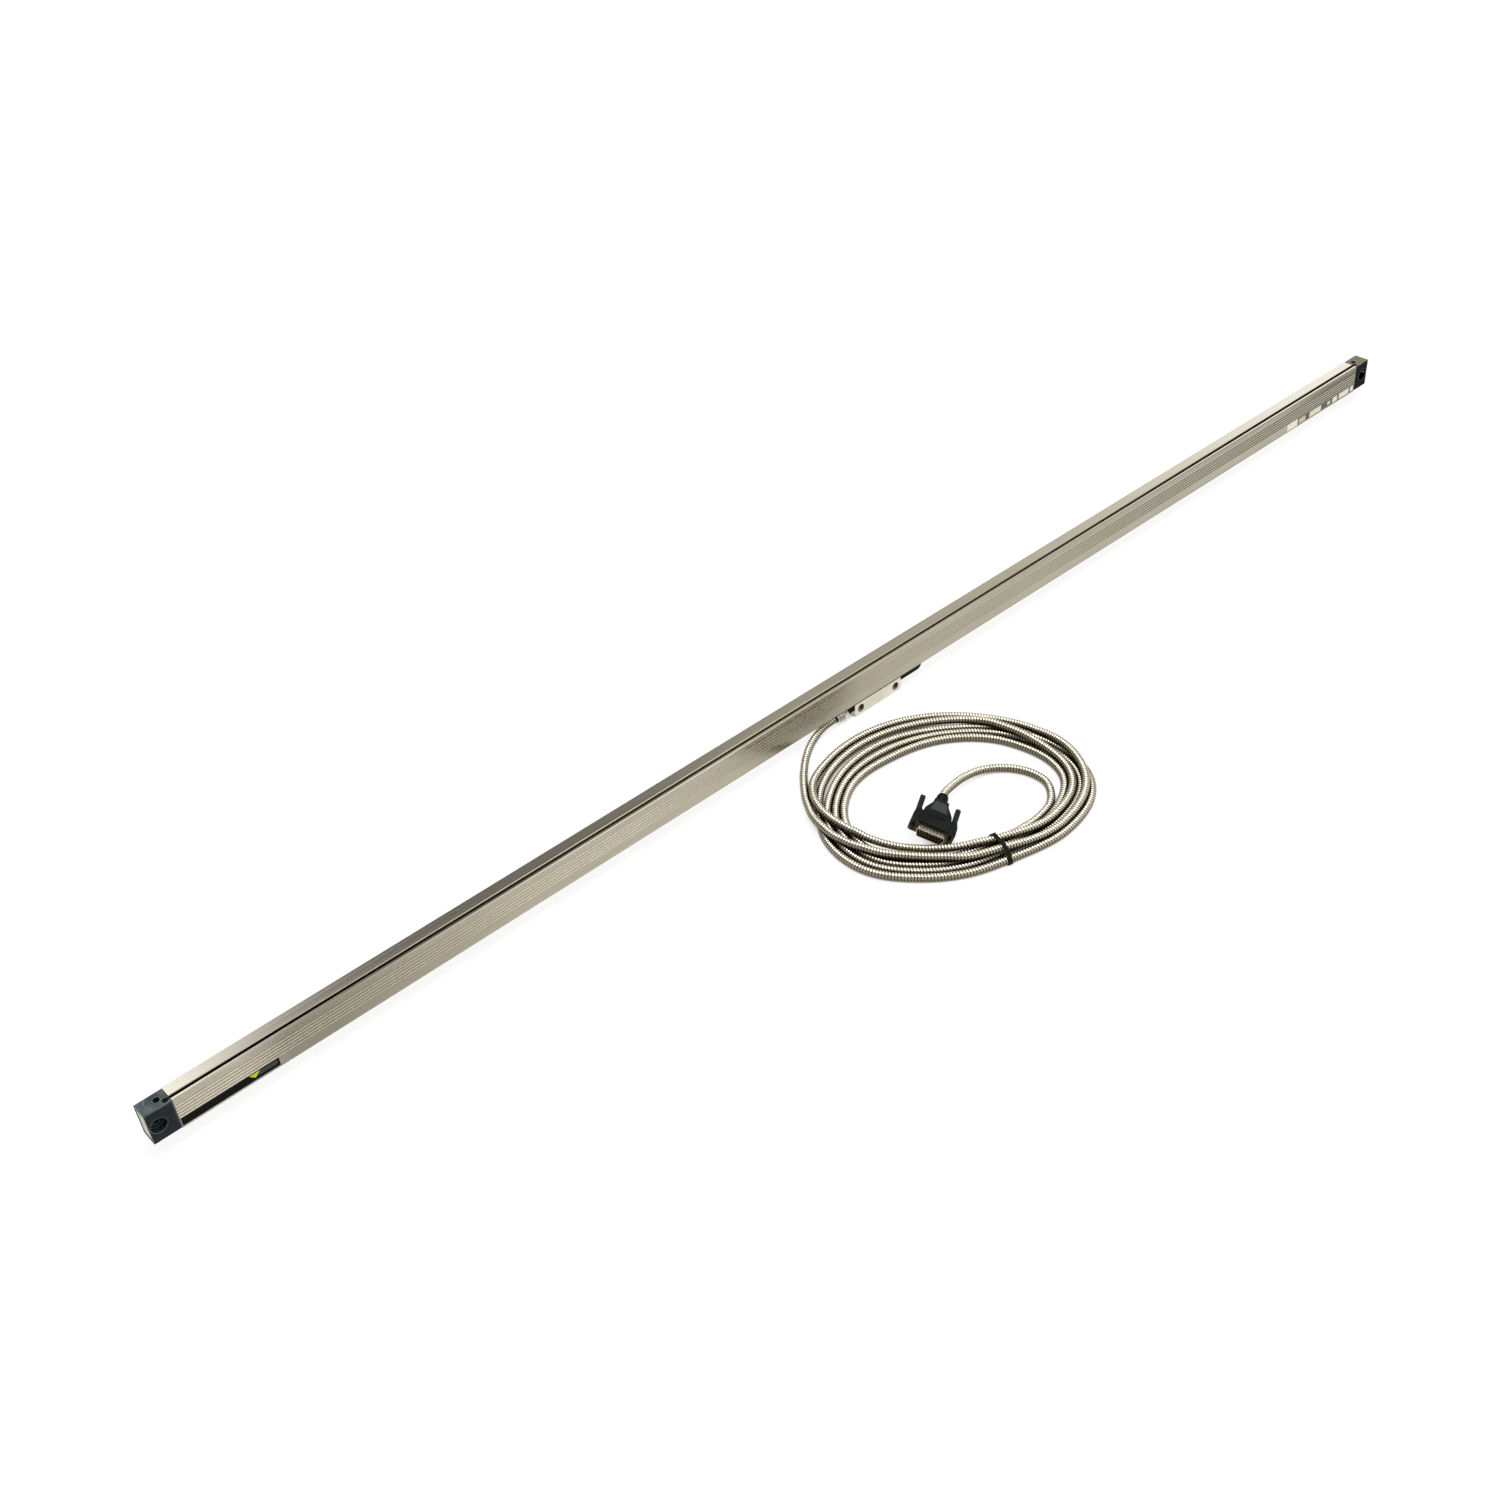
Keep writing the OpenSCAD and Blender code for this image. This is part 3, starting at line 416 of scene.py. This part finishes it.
def make_cover():
    """The slim black bar along the head's right side, rounded off at its end."""
    low, high = (np.array(v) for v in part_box("head_cover_right"))
    low[2] = high[2] - COVER_HEIGHT
    turn = np.linspace(0, math.pi / 2, 9)
    round_x = high[0] - COVER_HEIGHT + COVER_HEIGHT * np.sin(turn)
    round_z = high[2] - COVER_HEIGHT * np.cos(turn)
    outline = [(low[0], high[2]), (low[0], low[2]), *zip(round_x, round_z)]
    bm = bmesh.new()
    sides = [[bm.verts.new((x, y, z)) for x, z in outline] for y in (low[1], high[1])]
    bm.faces.new(sides[0])
    bm.faces.new(sides[1][::-1])
    for i in range(len(outline)):
        j = (i + 1) % len(outline)
        bm.faces.new((sides[0][j], sides[0][i], sides[1][i], sides[1][j]))
    bmesh.ops.recalc_face_normals(bm, faces=bm.faces)
    cover = object_from(bm, "cover_bar")
    bevel(cover, 0.4 * MM)
    return cover


# ---------------------------------------------------------------- materials

def srgb(r, g, b):
    """A colour as it looks on screen, 0 to 255, in the linear values that shaders take."""
    return tuple((c / 255 / 12.92) if c < 10.3 else ((c / 255 + 0.055) / 1.055) ** 2.4
                 for c in (r, g, b)) + (1,)


# The middle of a noise's range, over which it fades from one tone to the other
NARROW = (0.35, 0.65)
WIDE = (0.3, 0.7)


class Nodes:
    """Short ways to add nodes to a tree. A value can be a number or another node's output."""

    def __init__(self, tree):
        self.tree = tree

    def feed(self, socket, value):
        if isinstance(value, bpy.types.NodeSocket):
            self.tree.links.new(value, socket)
        else:
            socket.default_value = value

    def node(self, kind, inputs=(), **settings):
        n = self.tree.nodes.new(kind)
        for key, value in settings.items():
            setattr(n, key, value)
        for key, value in dict(inputs).items():
            self.feed(n.inputs[key], value)
        return n

    def maths(self, operation, a, b=0.0, clamp=False):
        return self.node("ShaderNodeMath", {0: a, 1: b}, operation=operation,
                         use_clamp=clamp).outputs[0]

    def times(self, a, b):
        return self.maths("MULTIPLY", a, b)

    def parts(self, vector):
        """The X, Y and Z of a vector."""
        return self.node("ShaderNodeSeparateXYZ", {0: vector}).outputs


class Finish(Nodes):
    """One material: a shader and short ways to add the nodes that feed it."""

    def __init__(self, name, metal=0.0, rough=0.5, **sockets):
        self.material = bpy.data.materials.new(name)
        self.material.use_nodes = True
        super().__init__(self.material.node_tree)
        self.shader = self.tree.nodes["Principled BSDF"]
        self.set("Metallic", metal)
        self.set("Roughness", rough)
        for socket, value in sockets.items():
            self.set(socket.replace("_", " "), value)
        self.place = self.node("ShaderNodeTexCoord").outputs["Object"]

    def set(self, socket, value):
        self.feed(self.shader.inputs[socket], value)

    def colour(self):
        """What feeds the base colour so far."""
        return self.shader.inputs["Base Color"].links[0].from_socket

    def noise(self, scale, detail=3.0, rough=0.5):
        """Noise with so many spots per metre along X, Y and Z."""
        scale = (scale,) * 3 if isinstance(scale, (int, float)) else scale
        stretched = self.node("ShaderNodeMapping", {"Vector": self.place, "Scale": scale})
        return self.node("ShaderNodeTexNoise", {
            "Vector": stretched.outputs[0], "Scale": 1.0, "Detail": detail,
            "Roughness": rough}).outputs["Fac"]

    def span(self, value, low, high, a=0.0, b=1.0):
        """Value from low to high turned into a to b, held at the ends."""
        return self.node("ShaderNodeMapRange", {"Value": value, "From Min": low, "From Max": high,
                                                "To Min": a, "To Max": b}).outputs["Result"]

    def mix(self, factor, a, b):
        """Colour a where factor is 0 and colour b where it is 1."""
        n = self.node("ShaderNodeMix", data_type="RGBA")
        for socket, value in zip((n.inputs[0], n.inputs[6], n.inputs[7]), (factor, a, b)):
            self.feed(socket, value)
        return n.outputs[2]

    def bump(self, height, distance, strength=1.0):
        n = self.node("ShaderNodeBump", {"Height": height, "Distance": distance,
                                         "Strength": strength})
        self.set("Normal", n.outputs[0])

    def normal(self):
        return self.node("ShaderNodeNewGeometry").outputs["Normal"]

    def xyz(self):
        return self.parts(self.place)

    def plug_axes(self):
        """Place in the plug's own axes: X away from its face, Y across it, Z up from it."""
        turned = self.node("ShaderNodeMapping", {
            "Vector": self.place, "Location": (*PLUG_POS, PLUG_Z),
            "Rotation": (PLUG_ROLL, 0, PLUG_HEADING)}, vector_type="TEXTURE")
        return self.parts(turned.outputs[0])

    def within(self, value, low, high):
        """1 where value lies between two sizes in millimetres, and 0 outside."""
        return self.times(self.maths("GREATER_THAN", value, low * MM),
                          self.maths("LESS_THAN", value, high * MM))

    def patch(self, x0, x1, z0, z1):
        """1 inside a rectangle of the front face, given in millimetres, and 0 outside."""
        x, _, z = self.xyz()
        return self.times(self.within(x, x0, x1), self.within(z, z0, z1))


# Parts of the housing, in millimetres: the grooved band of its front, the slot along its top,
# and the stained band beside the right end block
GROOVES_Y, GROOVES_Z = (-8.99, -8.0), (25, 40.5)
SLOT_Y, SLOT_Z = (-5.98, -2.82), (42, 45.97)
STAIN_Z = (38.4, 44.6)
# The housing's painted shade and sheen, and the slot's tone, are even about a place this far to the
# left of the middle
TONE_MIDDLE_OFFSET = 50 * MM


def anodised():
    """Extruded, anodised aluminium: fine die lines along X and a faint cloudiness."""
    f = Finish("anodised", metal=1.0)
    line = f.noise((5, 900, 900), detail=4, rough=0.6)
    cloud = f.noise((9, 60, 60), detail=2)
    both = f.maths("ADD", f.times(line, 0.6), f.times(cloud, 0.4))
    colour = f.mix(f.span(both, *NARROW), srgb(170, 163, 146), srgb(184, 177, 161))
    x, y, z = f.xyz()
    up = f.parts(f.normal())["Z"]
    # The grooves down the front: painted shade on their up-facing walls, darker towards both ends,
    # and more painted shade deep in them towards the right end
    front = f.times(f.within(y, *GROOVES_Y), f.within(z, *GROOVES_Z))
    from_middle = f.maths("ABSOLUTE", f.maths("ADD", x, TONE_MIDDLE_OFFSET))
    groove_wall_shade = f.mix(f.span(from_middle, 0.25, 0.45), srgb(164, 157, 139), srgb(128, 120, 100))
    colour = f.mix(f.times(front, f.span(up, 0.1, 0.5)), colour, groove_wall_shade)
    groove_shade = f.times(front, f.span(y, -8.97 * MM, -8.6 * MM, 0.2, 1.0))
    colour = f.mix(f.times(groove_shade, f.span(x, 0.28, 0.82)), colour, srgb(48, 36, 20))
    # The front is darker beyond the black label, and beside the head it carries a painted dark
    # reflection of the cable
    label_end = f.times(f.span(x, -0.7, -0.66), f.span(x, -0.62, -0.43, 0.45, 0))
    by_head = f.times(f.span(x, -0.2, -0.13, 0, 0.25), f.span(x, -0.09, -0.04, 1, 0))
    darker_tone = f.times(f.maths("LESS_THAN", y, -7.95 * MM),
                   f.maths("ADD", label_end, by_head))
    colour = f.mix(darker_tone, colour, srgb(62, 54, 38))
    # Paler and greyer on top towards both ends as a painted sheen, and stained beside the right end
    # block
    painted_top_sheen = f.times(f.span(from_middle, 0.4, 0.68), f.span(up, 0.8, 0.95))
    colour = f.mix(painted_top_sheen, colour, srgb(186, 182, 172))
    stain = f.times(f.span(x, 0.6, 0.7, 0, 0.8), f.within(z, *STAIN_Z))
    stain = f.times(stain, f.maths("LESS_THAN", y, -8.9 * MM))
    colour = f.mix(stain, colour, srgb(98, 88, 66))
    # The slot along the top: not polished inside, with painted shade further down inside it, and
    # darker near the ends
    slot = f.times(f.within(y, *SLOT_Y), f.within(z, *SLOT_Z))
    lip = f.mix(f.span(from_middle, 0.2, 0.6), srgb(150, 138, 112), srgb(44, 33, 20))
    inside = f.mix(f.span(z, 43.4 * MM, 45.3 * MM), srgb(24, 17, 10), lip)
    f.set("Base Color", f.mix(slot, colour, inside))
    f.set("Metallic", f.maths("SUBTRACT", 1.0, slot))
    # Smoother on top than on the front
    f.set("Roughness", f.maths("ADD", f.span(line, *WIDE, 0.14, 0.22),
                               f.span(up, 0.9, 0.3, 0, 0.12)))
    f.bump(line, 0.004 * MM, 0.5)
    return f


def cast_metal(name, light, dark, low, high):
    """Cast or blasted metal: an even fine grain, and a roughness from low to high."""
    f = Finish(name, metal=1.0)
    fine = f.noise(900, detail=4, rough=0.6)
    broad = f.noise(45, detail=2)
    f.set("Base Color", f.mix(f.span(broad, *NARROW), dark, light))
    f.set("Roughness", f.span(fine, *WIDE, low, high))
    f.bump(fine, 0.02 * MM, 0.7)
    return f


HEAD_HOLE_PITCH = 46 * MM


def head_casting():
    """Pale blasted casting, with painted brown shade on the walls of the two counterbores."""
    f = cast_metal("head_cast", srgb(228, 223, 208), srgb(212, 207, 192), 0.3, 0.44)
    low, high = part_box("head_block")
    middle = (low[0] + high[0]) / 2
    x, y, z = f.xyz()
    aside = f.maths("ABSOLUTE", f.maths("SUBTRACT", x, middle))
    aside = f.maths("SUBTRACT", aside, HEAD_HOLE_PITCH / 2)
    hole = f.maths("LESS_THAN", f.maths("ABSOLUTE", aside), 4.4 * MM)
    hole = f.times(hole, f.within(z, 2, 11))
    hole = f.times(hole, f.span(y, low[1] + 0.4 * MM, low[1] + 1.2 * MM))
    side = f.span(f.parts(f.normal())["X"], -0.1, -0.6)
    pale = f.colour()
    f.set("Base Color", f.mix(f.times(hole, side), pale, srgb(96, 84, 60)))
    f.set("Metallic", f.span(hole, 0, 1, 1.0, 0.2))
    return f


def moulded(name, light, dark, low, high, **sockets):
    """Moulded or painted surface: fine texture, slightly uneven gloss."""
    f = Finish(name, **sockets)
    fine = f.noise(1400, detail=3)
    broad = f.noise(70, detail=3)
    f.set("Base Color", f.mix(f.span(broad, *NARROW), dark, light))
    f.set("Roughness", f.span(broad, *WIDE, low, high))
    f.bump(fine, 0.02 * MM, 0.6)
    return f


def end_paint():
    """Semi-gloss dark paint with painted light making it paler on top, olive on the right end block,
    worn along its edges, and with painted shade darkening the right end block's sides."""
    f = Finish("end_paint", Specular_IOR_Level=0.02)
    fine = f.noise(1400, detail=3)
    broad = f.noise(70, detail=3)
    normal = f.normal()
    up = f.parts(normal)["Z"]
    x, _, z = f.xyz()
    high = f.maths("GREATER_THAN", z, 44 * MM)
    right = f.maths("GREATER_THAN", x, 0.0)
    # Painted shade: the right end block's sides are drawn near black
    side = f.mix(f.span(broad, *NARROW), srgb(36, 43, 46), srgb(50, 58, 61))
    side = f.mix(right, side, srgb(6, 6, 5))
    # Painted light: the tops are drawn paler, and olive on the right end block
    top = f.mix(f.span(broad, *NARROW), srgb(64, 74, 78), srgb(104, 114, 110))
    top = f.mix(right, top, srgb(122, 118, 96))
    colour = f.mix(f.times(f.span(up, 0.3, 0.9), high), side, top)
    # Worn where a rounded normal turns away from the true one
    rounded = f.node("ShaderNodeBevel", {"Radius": 0.7 * MM}, samples=6).outputs[0]
    same = f.node("ShaderNodeVectorMath", {0: rounded, 1: normal},
                  operation="DOT_PRODUCT").outputs["Value"]
    f.set("Base Color", f.mix(f.span(same, 0.985, 0.88, 0, 0.75), colour, srgb(160, 170, 172)))
    f.set("Roughness", f.span(broad, *WIDE, 0.2, 0.32))
    f.bump(fine, 0.02 * MM, 0.5)
    return f


def turned_metal(name, light, dark, rough=0.22):
    """Turned or rolled steel: faint bands and small scuffs."""
    f = Finish(name, metal=1.0)
    scuff = f.noise(600, detail=5, rough=0.7)
    tone = f.noise(160, detail=2)
    f.set("Base Color", f.mix(f.span(tone, *WIDE), dark, light))
    f.set("Roughness", f.span(scuff, *WIDE, rough - 0.06, rough + 0.12))
    f.bump(scuff, 0.008 * MM, 0.5)
    return f


def cable_steel():
    """Strip with a painted highlight along its top, painted shade down its sides, and painted shade
    in its gaps.
    """
    f = Finish("cable_armour", metal=1.0)
    groove, up, crowd = (f.node("ShaderNodeAttribute", attribute_name=name).outputs["Fac"]
                         for name in ("groove", "up", "crowd"))
    tone = f.noise(220, detail=3)
    steel = f.mix(f.span(tone, *NARROW), srgb(232, 226, 206), srgb(250, 245, 230))
    # Painted highlight where the strip faces up, painted shade down its sides
    steel = f.mix(f.span(up, 0.9, 0.15), steel, srgb(122, 114, 90))
    # Painted shade in the gaps between ridges, paler where they face up
    gap = f.mix(f.span(up, 0.3, 0.9), srgb(36, 31, 20), srgb(156, 148, 124))
    steel = f.mix(f.span(groove, 0.1, 0.85), steel, gap)
    # Painted shade where the strands crowd together
    f.set("Base Color", f.mix(f.times(crowd, 0.86), steel, srgb(22, 18, 12)))
    f.set("Roughness", f.span(tone, *WIDE, 0.18, 0.28))
    return f


def plug_shell_steel():
    """Pressed shell: a tarnished flange and a bright collar with a row of dimples drawn as spots of
    painted shade.
    """
    f = turned_metal("plug_shell", srgb(222, 216, 198), srgb(176, 168, 146), 0.25)
    x, y, z = f.plug_axes()
    tone = f.noise(420, detail=4, rough=0.7)
    # Round dimples drawn as dark spots of painted shade, one in the middle of each pitch along the
    # collar's two long sides
    pitch = 3.1 * MM
    along = f.maths("SUBTRACT", f.maths("FRACT", f.times(y, 1 / pitch)), 0.5)
    along = f.times(along, pitch)
    deep = f.maths("ADD", x, 3.7 * MM)
    far = f.maths("SQRT", f.maths("ADD", f.times(along, along), f.times(deep, deep)))
    wide = f.maths("LESS_THAN", f.maths("ABSOLUTE", y), 10.8 * MM)
    flat = f.times(wide, f.maths("GREATER_THAN", f.maths("ABSOLUTE", z), 4.3 * MM))
    dimple_shade = f.times(flat, f.span(far, 1.0 * MM, 0.6 * MM))
    flange = f.maths("GREATER_THAN", x, -1.05 * MM)
    rim = f.maths("LESS_THAN", x, -6.7 * MM)
    bright = f.colour()
    darker_tone = f.mix(f.span(tone, *NARROW), srgb(62, 58, 42), srgb(96, 90, 68))
    colour = f.mix(flange, f.mix(dimple_shade, bright, srgb(46, 42, 30)), darker_tone)
    f.set("Base Color", f.mix(rim, colour, srgb(236, 230, 212)))
    f.set("Metallic", f.span(rim, 0, 1, 1.0, 0.3))
    return f


def hood_plastic():
    """Black moulded hood with a paler, satin panel on the side that faces up."""
    f = moulded("plug_hood", srgb(21, 24, 24), srgb(13, 15, 16), 0.34, 0.48,
                Specular_IOR_Level=0.14)
    x, y, z = f.plug_axes()
    # The panel's sides draw together towards the cable
    edge = f.maths("SUBTRACT", 12.0 * MM, f.times(x, 0.2))
    across = f.span(f.maths("SUBTRACT", edge, f.maths("ABSOLUTE", y)), 0.0, 0.7 * MM)
    panel = f.times(across, f.times(f.span(x, 19.2 * MM, 20 * MM),
                                    f.span(x, 33 * MM, 32.2 * MM)))
    panel = f.times(panel, f.maths("GREATER_THAN", z, 5.6 * MM))
    black = f.colour()
    f.set("Base Color", f.mix(panel, black, srgb(60, 64, 63)))
    return f


def front_label_print():
    """Gloss black strip with a wedge of accent colour and a dark grey panel, and no lettering."""
    f = Finish("front_label", rough=0.28, Specular_IOR_Level=0.05)
    fine = f.noise(900, detail=3)
    colour = f.mix(f.span(fine, *WIDE), srgb(6, 7, 7), srgb(12, 13, 13))
    colour = f.mix(f.patch(-690, -672.6, 19.4, 23.6), colour, srgb(66, 70, 70))
    x, _, z = f.xyz()
    side = f.maths("ABSOLUTE", f.maths("ADD", x, 692.6 * MM))
    wedge = f.maths("LESS_THAN", side, f.maths("SUBTRACT", z, 18.9 * MM))
    wedge = f.times(wedge, f.within(z, 18.9, 23.7))
    colour = f.mix(wedge, colour, srgb(204, 214, 60))
    f.set("Base Color", colour)
    f.set("Roughness", f.span(fine, *WIDE, 0.24, 0.36))
    f.bump(fine, 0.006 * MM, 0.4)
    return f


def rating_label_print():
    """Metal-foil label: a white end, then a dark ground with blank light fields."""
    f = Finish("rating_label", rough=0.3, Specular_IOR_Level=0.3)
    fine = f.noise(700, detail=3)
    colour = f.mix(f.span(fine, *WIDE), srgb(66, 66, 54), srgb(86, 86, 72))
    fields = [(628, 648, 15, 25), (650.5, 663, 17.2, 23.4), (670.5, 692.5, 17, 23.6),
              (704.5, 710, 18.2, 22.6), (714.5, 723.5, 17.2, 23.4), (727, 746, 17, 23.6),
              (749, 754.6, 17.2, 23.4)]
    tones = [(246, 243, 232), (206, 204, 166), (236, 234, 206), (226, 224, 196), (244, 243, 236),
             (238, 238, 234), (244, 243, 236)]
    for (x0, x1, z0, z1), tone in zip(fields, tones):
        colour = f.mix(f.patch(x0, x1, z0, z1), colour, srgb(*tone))
    f.set("Base Color", colour)
    f.set("Roughness", f.span(fine, *WIDE, 0.26, 0.38))
    f.bump(fine, 0.006 * MM, 0.4)
    return f


def scale_glass():
    """Clear glass with the graduated band as a fine grey haze along it."""
    f = Finish("glass", rough=0.03, IOR=1.5)
    x, _, z = f.xyz()
    band = f.within(z, 32, 38)
    lines = f.maths("GREATER_THAN", f.maths("FRACT", f.times(x, 1000)), 0.5)
    haze = f.times(band, f.maths("ADD", 0.25, f.times(lines, 0.25)))
    f.set("Base Color", f.mix(haze, srgb(236, 246, 243), srgb(96, 96, 90)))
    f.set("Transmission Weight", f.span(haze, 0, 0.5, 0.9, 0.2))
    return f


def circuit_board():
    """Green solder mask with copper tracks under it."""
    f = Finish("board", rough=0.35)
    x, _, z = f.xyz()
    slant = f.maths("FRACT", f.times(f.maths("ADD", x, z), 420))
    track = f.maths("LESS_THAN", slant, 0.35)
    patchy = f.maths("GREATER_THAN", f.noise(130, detail=1), 0.5)
    f.set("Base Color", f.mix(f.times(track, patchy), srgb(22, 84, 50), srgb(58, 128, 74)))
    f.set("Roughness", f.span(f.noise(500), 0.3, 0.7, 0.28, 0.45))
    return f


FINISHES = {
    "housing": anodised,
    "end_block": end_paint,
    "end_plate": lambda: moulded("end_plate", srgb(232, 230, 198), srgb(216, 214, 180), 0.4, 0.55),
    "rubber": lambda: moulded("rubber", srgb(34, 34, 34), srgb(24, 24, 24), 0.6, 0.8),
    "screws": lambda: turned_metal("screws", srgb(206, 204, 198), srgb(170, 168, 162)),
    "black_screws": lambda: turned_metal("black_screws", srgb(52, 52, 54), srgb(34, 34, 36), 0.35),
    "front_label": front_label_print,
    "rating_label": rating_label_print,
    "head_block": head_casting,
    "head_cover": lambda: moulded("head_cover", srgb(22, 20, 16), srgb(15, 14, 11), 0.4, 0.55,
                                  Specular_IOR_Level=0.05),
    "steel": lambda: turned_metal("steel", srgb(214, 212, 206), srgb(176, 174, 168)),
    "gland": lambda: turned_metal("gland", srgb(196, 192, 180), srgb(150, 146, 134), 0.26),
    "carriage": lambda: cast_metal("carriage", srgb(150, 152, 154), srgb(120, 122, 126), 0.3, 0.45),
    "electronics": lambda: moulded("electronics", srgb(44, 44, 46), srgb(30, 30, 32), 0.4, 0.6),
    "board": circuit_board,
    "glass": scale_glass,
    "adhesive": lambda: moulded("adhesive", srgb(214, 206, 184), srgb(190, 180, 156), 0.3, 0.5),
    "roller": lambda: turned_metal("roller", srgb(222, 220, 216), srgb(190, 188, 184), 0.16),
    "plug_hood": hood_plastic,
    "plug_shell": plug_shell_steel,
    "pins": lambda: turned_metal("pins", srgb(224, 206, 150), srgb(196, 176, 118), 0.18),
    "thumbscrew": lambda: moulded("thumbscrew", srgb(30, 32, 34), srgb(20, 22, 24), 0.38, 0.55,
                                  Specular_IOR_Level=0.2),
    "cable_tie": lambda: moulded("tie_nylon", srgb(26, 25, 20), srgb(17, 16, 13), 0.35, 0.5,
                                 Specular_IOR_Level=0.08),
    "cable_armour": cable_steel,
}


def paint():
    """Gives every CAD node the finish of its slot in the record."""
    made = {name: make().material for name, make in FINISHES.items()}
    slot_of = {part["node"]: part["material_slot"] for part in frame["record"]["subparts"]}
    for name, thing in nodes.items():
        slot = slot_of[name]
        material = made["cable_armour" if slot == "wound_cable" else slot]
        thing.data.materials.clear()
        thing.data.materials.append(material)
    return made


# ---------------------------------------------------------------- room and light

FLOOR_DROP = 0.2 * MM
# The floor darkens where something this near stands over it
SHADE_REACH = 14 * MM


def make_floor():
    """A pale floor that stays white to the eye and in reflections, but takes a soft shadow."""
    bm = bmesh.new()
    bmesh.ops.create_grid(bm, x_segments=2, y_segments=2, size=40)
    floor = object_from(bm, "floor")
    floor.location.z = -FLOOR_DROP
    f = Finish("floor")
    path = f.node("ShaderNodeLightPath").outputs
    seen = f.maths("MAXIMUM", path["Is Camera Ray"],
                   f.maths("MAXIMUM", path["Is Glossy Ray"], path["Is Transmission Ray"]))
    # Painted shade: where the ambient occlusion finds something close over the floor, it is drawn
    # darker and browner
    open_sky = f.node("ShaderNodeAmbientOcclusion", {"Distance": SHADE_REACH},
                      samples=8).outputs["AO"]
    lit = f.span(open_sky, 0.1, 0.4)
    tint = f.mix(lit, (0.8, 0.68, 0.5, 1), (1, 1, 1, 1))
    shadow_part = f.node("ShaderNodeBsdfDiffuse", {
        "Color": f.mix(lit, (0.05, 0.045, 0.03, 1), (0.22, 0.22, 0.22, 1))}).outputs[0]
    white = f.node("ShaderNodeEmission", {"Color": tint, "Strength": f.times(lit, 0.84)}).outputs[0]
    shown = f.node("ShaderNodeAddShader", {0: shadow_part, 1: white}).outputs[0]
    paint_part = f.node("ShaderNodeBsdfDiffuse", {"Color": (0.82, 0.82, 0.81, 1)}).outputs[0]
    both = f.node("ShaderNodeMixShader", {0: seen, 1: paint_part, 2: shown}).outputs[0]
    f.tree.links.new(both, f.tree.nodes["Material Output"].inputs["Surface"])
    f.tree.nodes.remove(f.shader)
    floor.data.materials.append(f.material)


# The soft studio walls: brightness at each bearing, in degrees anticlockwise from +X
WALLS = [(-180, 0.3), (-105, 0.3), (-85, 0.6), (-76, 1.0), (-66, 1.5), (-58, 2.2), (-50, 2.0),
         (-44, 1.1), (-39, 0.5), (-10, 0.3), (10, 0.3), (20, 0.9), (26, 1.75), (31, 1.9), (36, 1.35),
         (40, 1.0), (44, 0.8), (50.5, 0.74), (53, 0.52), (56, 0.34), (61, 0.28), (70, 0.25),
         (73, 0.5), (75.5, 1.7), (78, 2.5), (84, 2.4), (90, 0.7), (100, 0.38), (150, 0.3),
         (180, 0.3)]
BRIGHTEST = 2.5
CEILING = 1.0
# Share of its brightness that a wall has at its foot
FOOT_SHARE = 0.18
# Heights in the studio, as the sine of the angle over the horizon
WALL_FOOT = 0.18
FOOT_FADE = 0.02
WALL_RISE = 0.2
CEILING_FOOT = 0.8
CEILING_FADE = 0.15


def make_world():
    """Plain soft studio: a white backdrop up to 10 degrees, then walls that are dim low down
    and pale above, and an even pale ceiling."""
    world = bpy.data.worlds.new("studio")
    bpy.context.scene.world = world
    world.use_nodes = True
    world.node_tree.nodes.clear()
    w = Nodes(world.node_tree)
    x, y, z = w.parts(w.node("ShaderNodeTexCoord").outputs["Generated"])
    bearing = w.maths("ADD", w.maths("DIVIDE", w.maths("ARCTAN2", y, x), 2 * math.pi), 0.5)
    walls = w.node("ShaderNodeFloatCurve", {"Value": bearing})
    curve = walls.mapping.curves[0]
    for _ in range(len(WALLS) - 2):
        curve.points.new(0.5, 0.5)
    for point, (angle, level) in zip(curve.points, WALLS):
        point.location = (angle / 360 + 0.5, level / BRIGHTEST)
        point.handle_type = "VECTOR"
    walls.mapping.update()
    level = w.times(walls.outputs[0], BRIGHTEST)
    raised = w.maths("DIVIDE", w.maths("SUBTRACT", z, WALL_FOOT), WALL_RISE, clamp=True)
    level = w.times(level, w.maths("ADD", w.times(raised, 1 - FOOT_SHARE), FOOT_SHARE))
    backdrop = w.maths("DIVIDE", w.maths("SUBTRACT", WALL_FOOT, z), FOOT_FADE, clamp=True)
    level = w.maths("ADD", w.times(level, w.maths("SUBTRACT", 1.0, backdrop)), backdrop)
    high = w.maths("DIVIDE", w.maths("SUBTRACT", z, CEILING_FOOT), CEILING_FADE, clamp=True)
    level = w.maths("ADD", w.times(level, w.maths("SUBTRACT", 1.0, high)), w.times(high, CEILING))
    shade = w.node("ShaderNodeBackground", {"Strength": level, "Color": (1.0, 0.99, 0.97, 1)})
    w.node("ShaderNodeOutputWorld", {"Surface": shade.outputs[0]})


def make_key():
    """One large soft lamp overhead, a little to the front."""
    data = bpy.data.lights.new("key", "AREA")
    data.shape = "DISK"
    data.size = 1.8
    data.energy = 36
    key = bpy.data.objects.new("key", data)
    key.location = (0.15, -0.35, 2.7)
    aim = Vector((-0.05, -0.05, 0)) - key.location
    key.rotation_euler = aim.to_track_quat("-Z", "Y").to_euler()
    bpy.context.scene.collection.objects.link(key)


# ---------------------------------------------------------------- the scene

make_camera()
cable, cable_line = strip_wound("armoured_cable", settle(planned_route()))
tie = make_tie(cable_line)
cover = make_cover()
materials = paint()
cable.data.materials.append(materials["cable_armour"])
tie.data.materials.append(materials["cable_tie"])
cover.data.materials.append(materials["head_cover"])

for piece, slot in ((cable, "cable_armour"), (tie, "cable_tie"), (cover, "head_cover")):
    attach(piece, "head")
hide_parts("cable_lead", "cable_coil", "cable_tail")
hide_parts("cable_tie")
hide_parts("head_cover_right")

make_floor()
make_world()
make_key()
bpy.context.scene.view_settings.view_transform = "Standard"
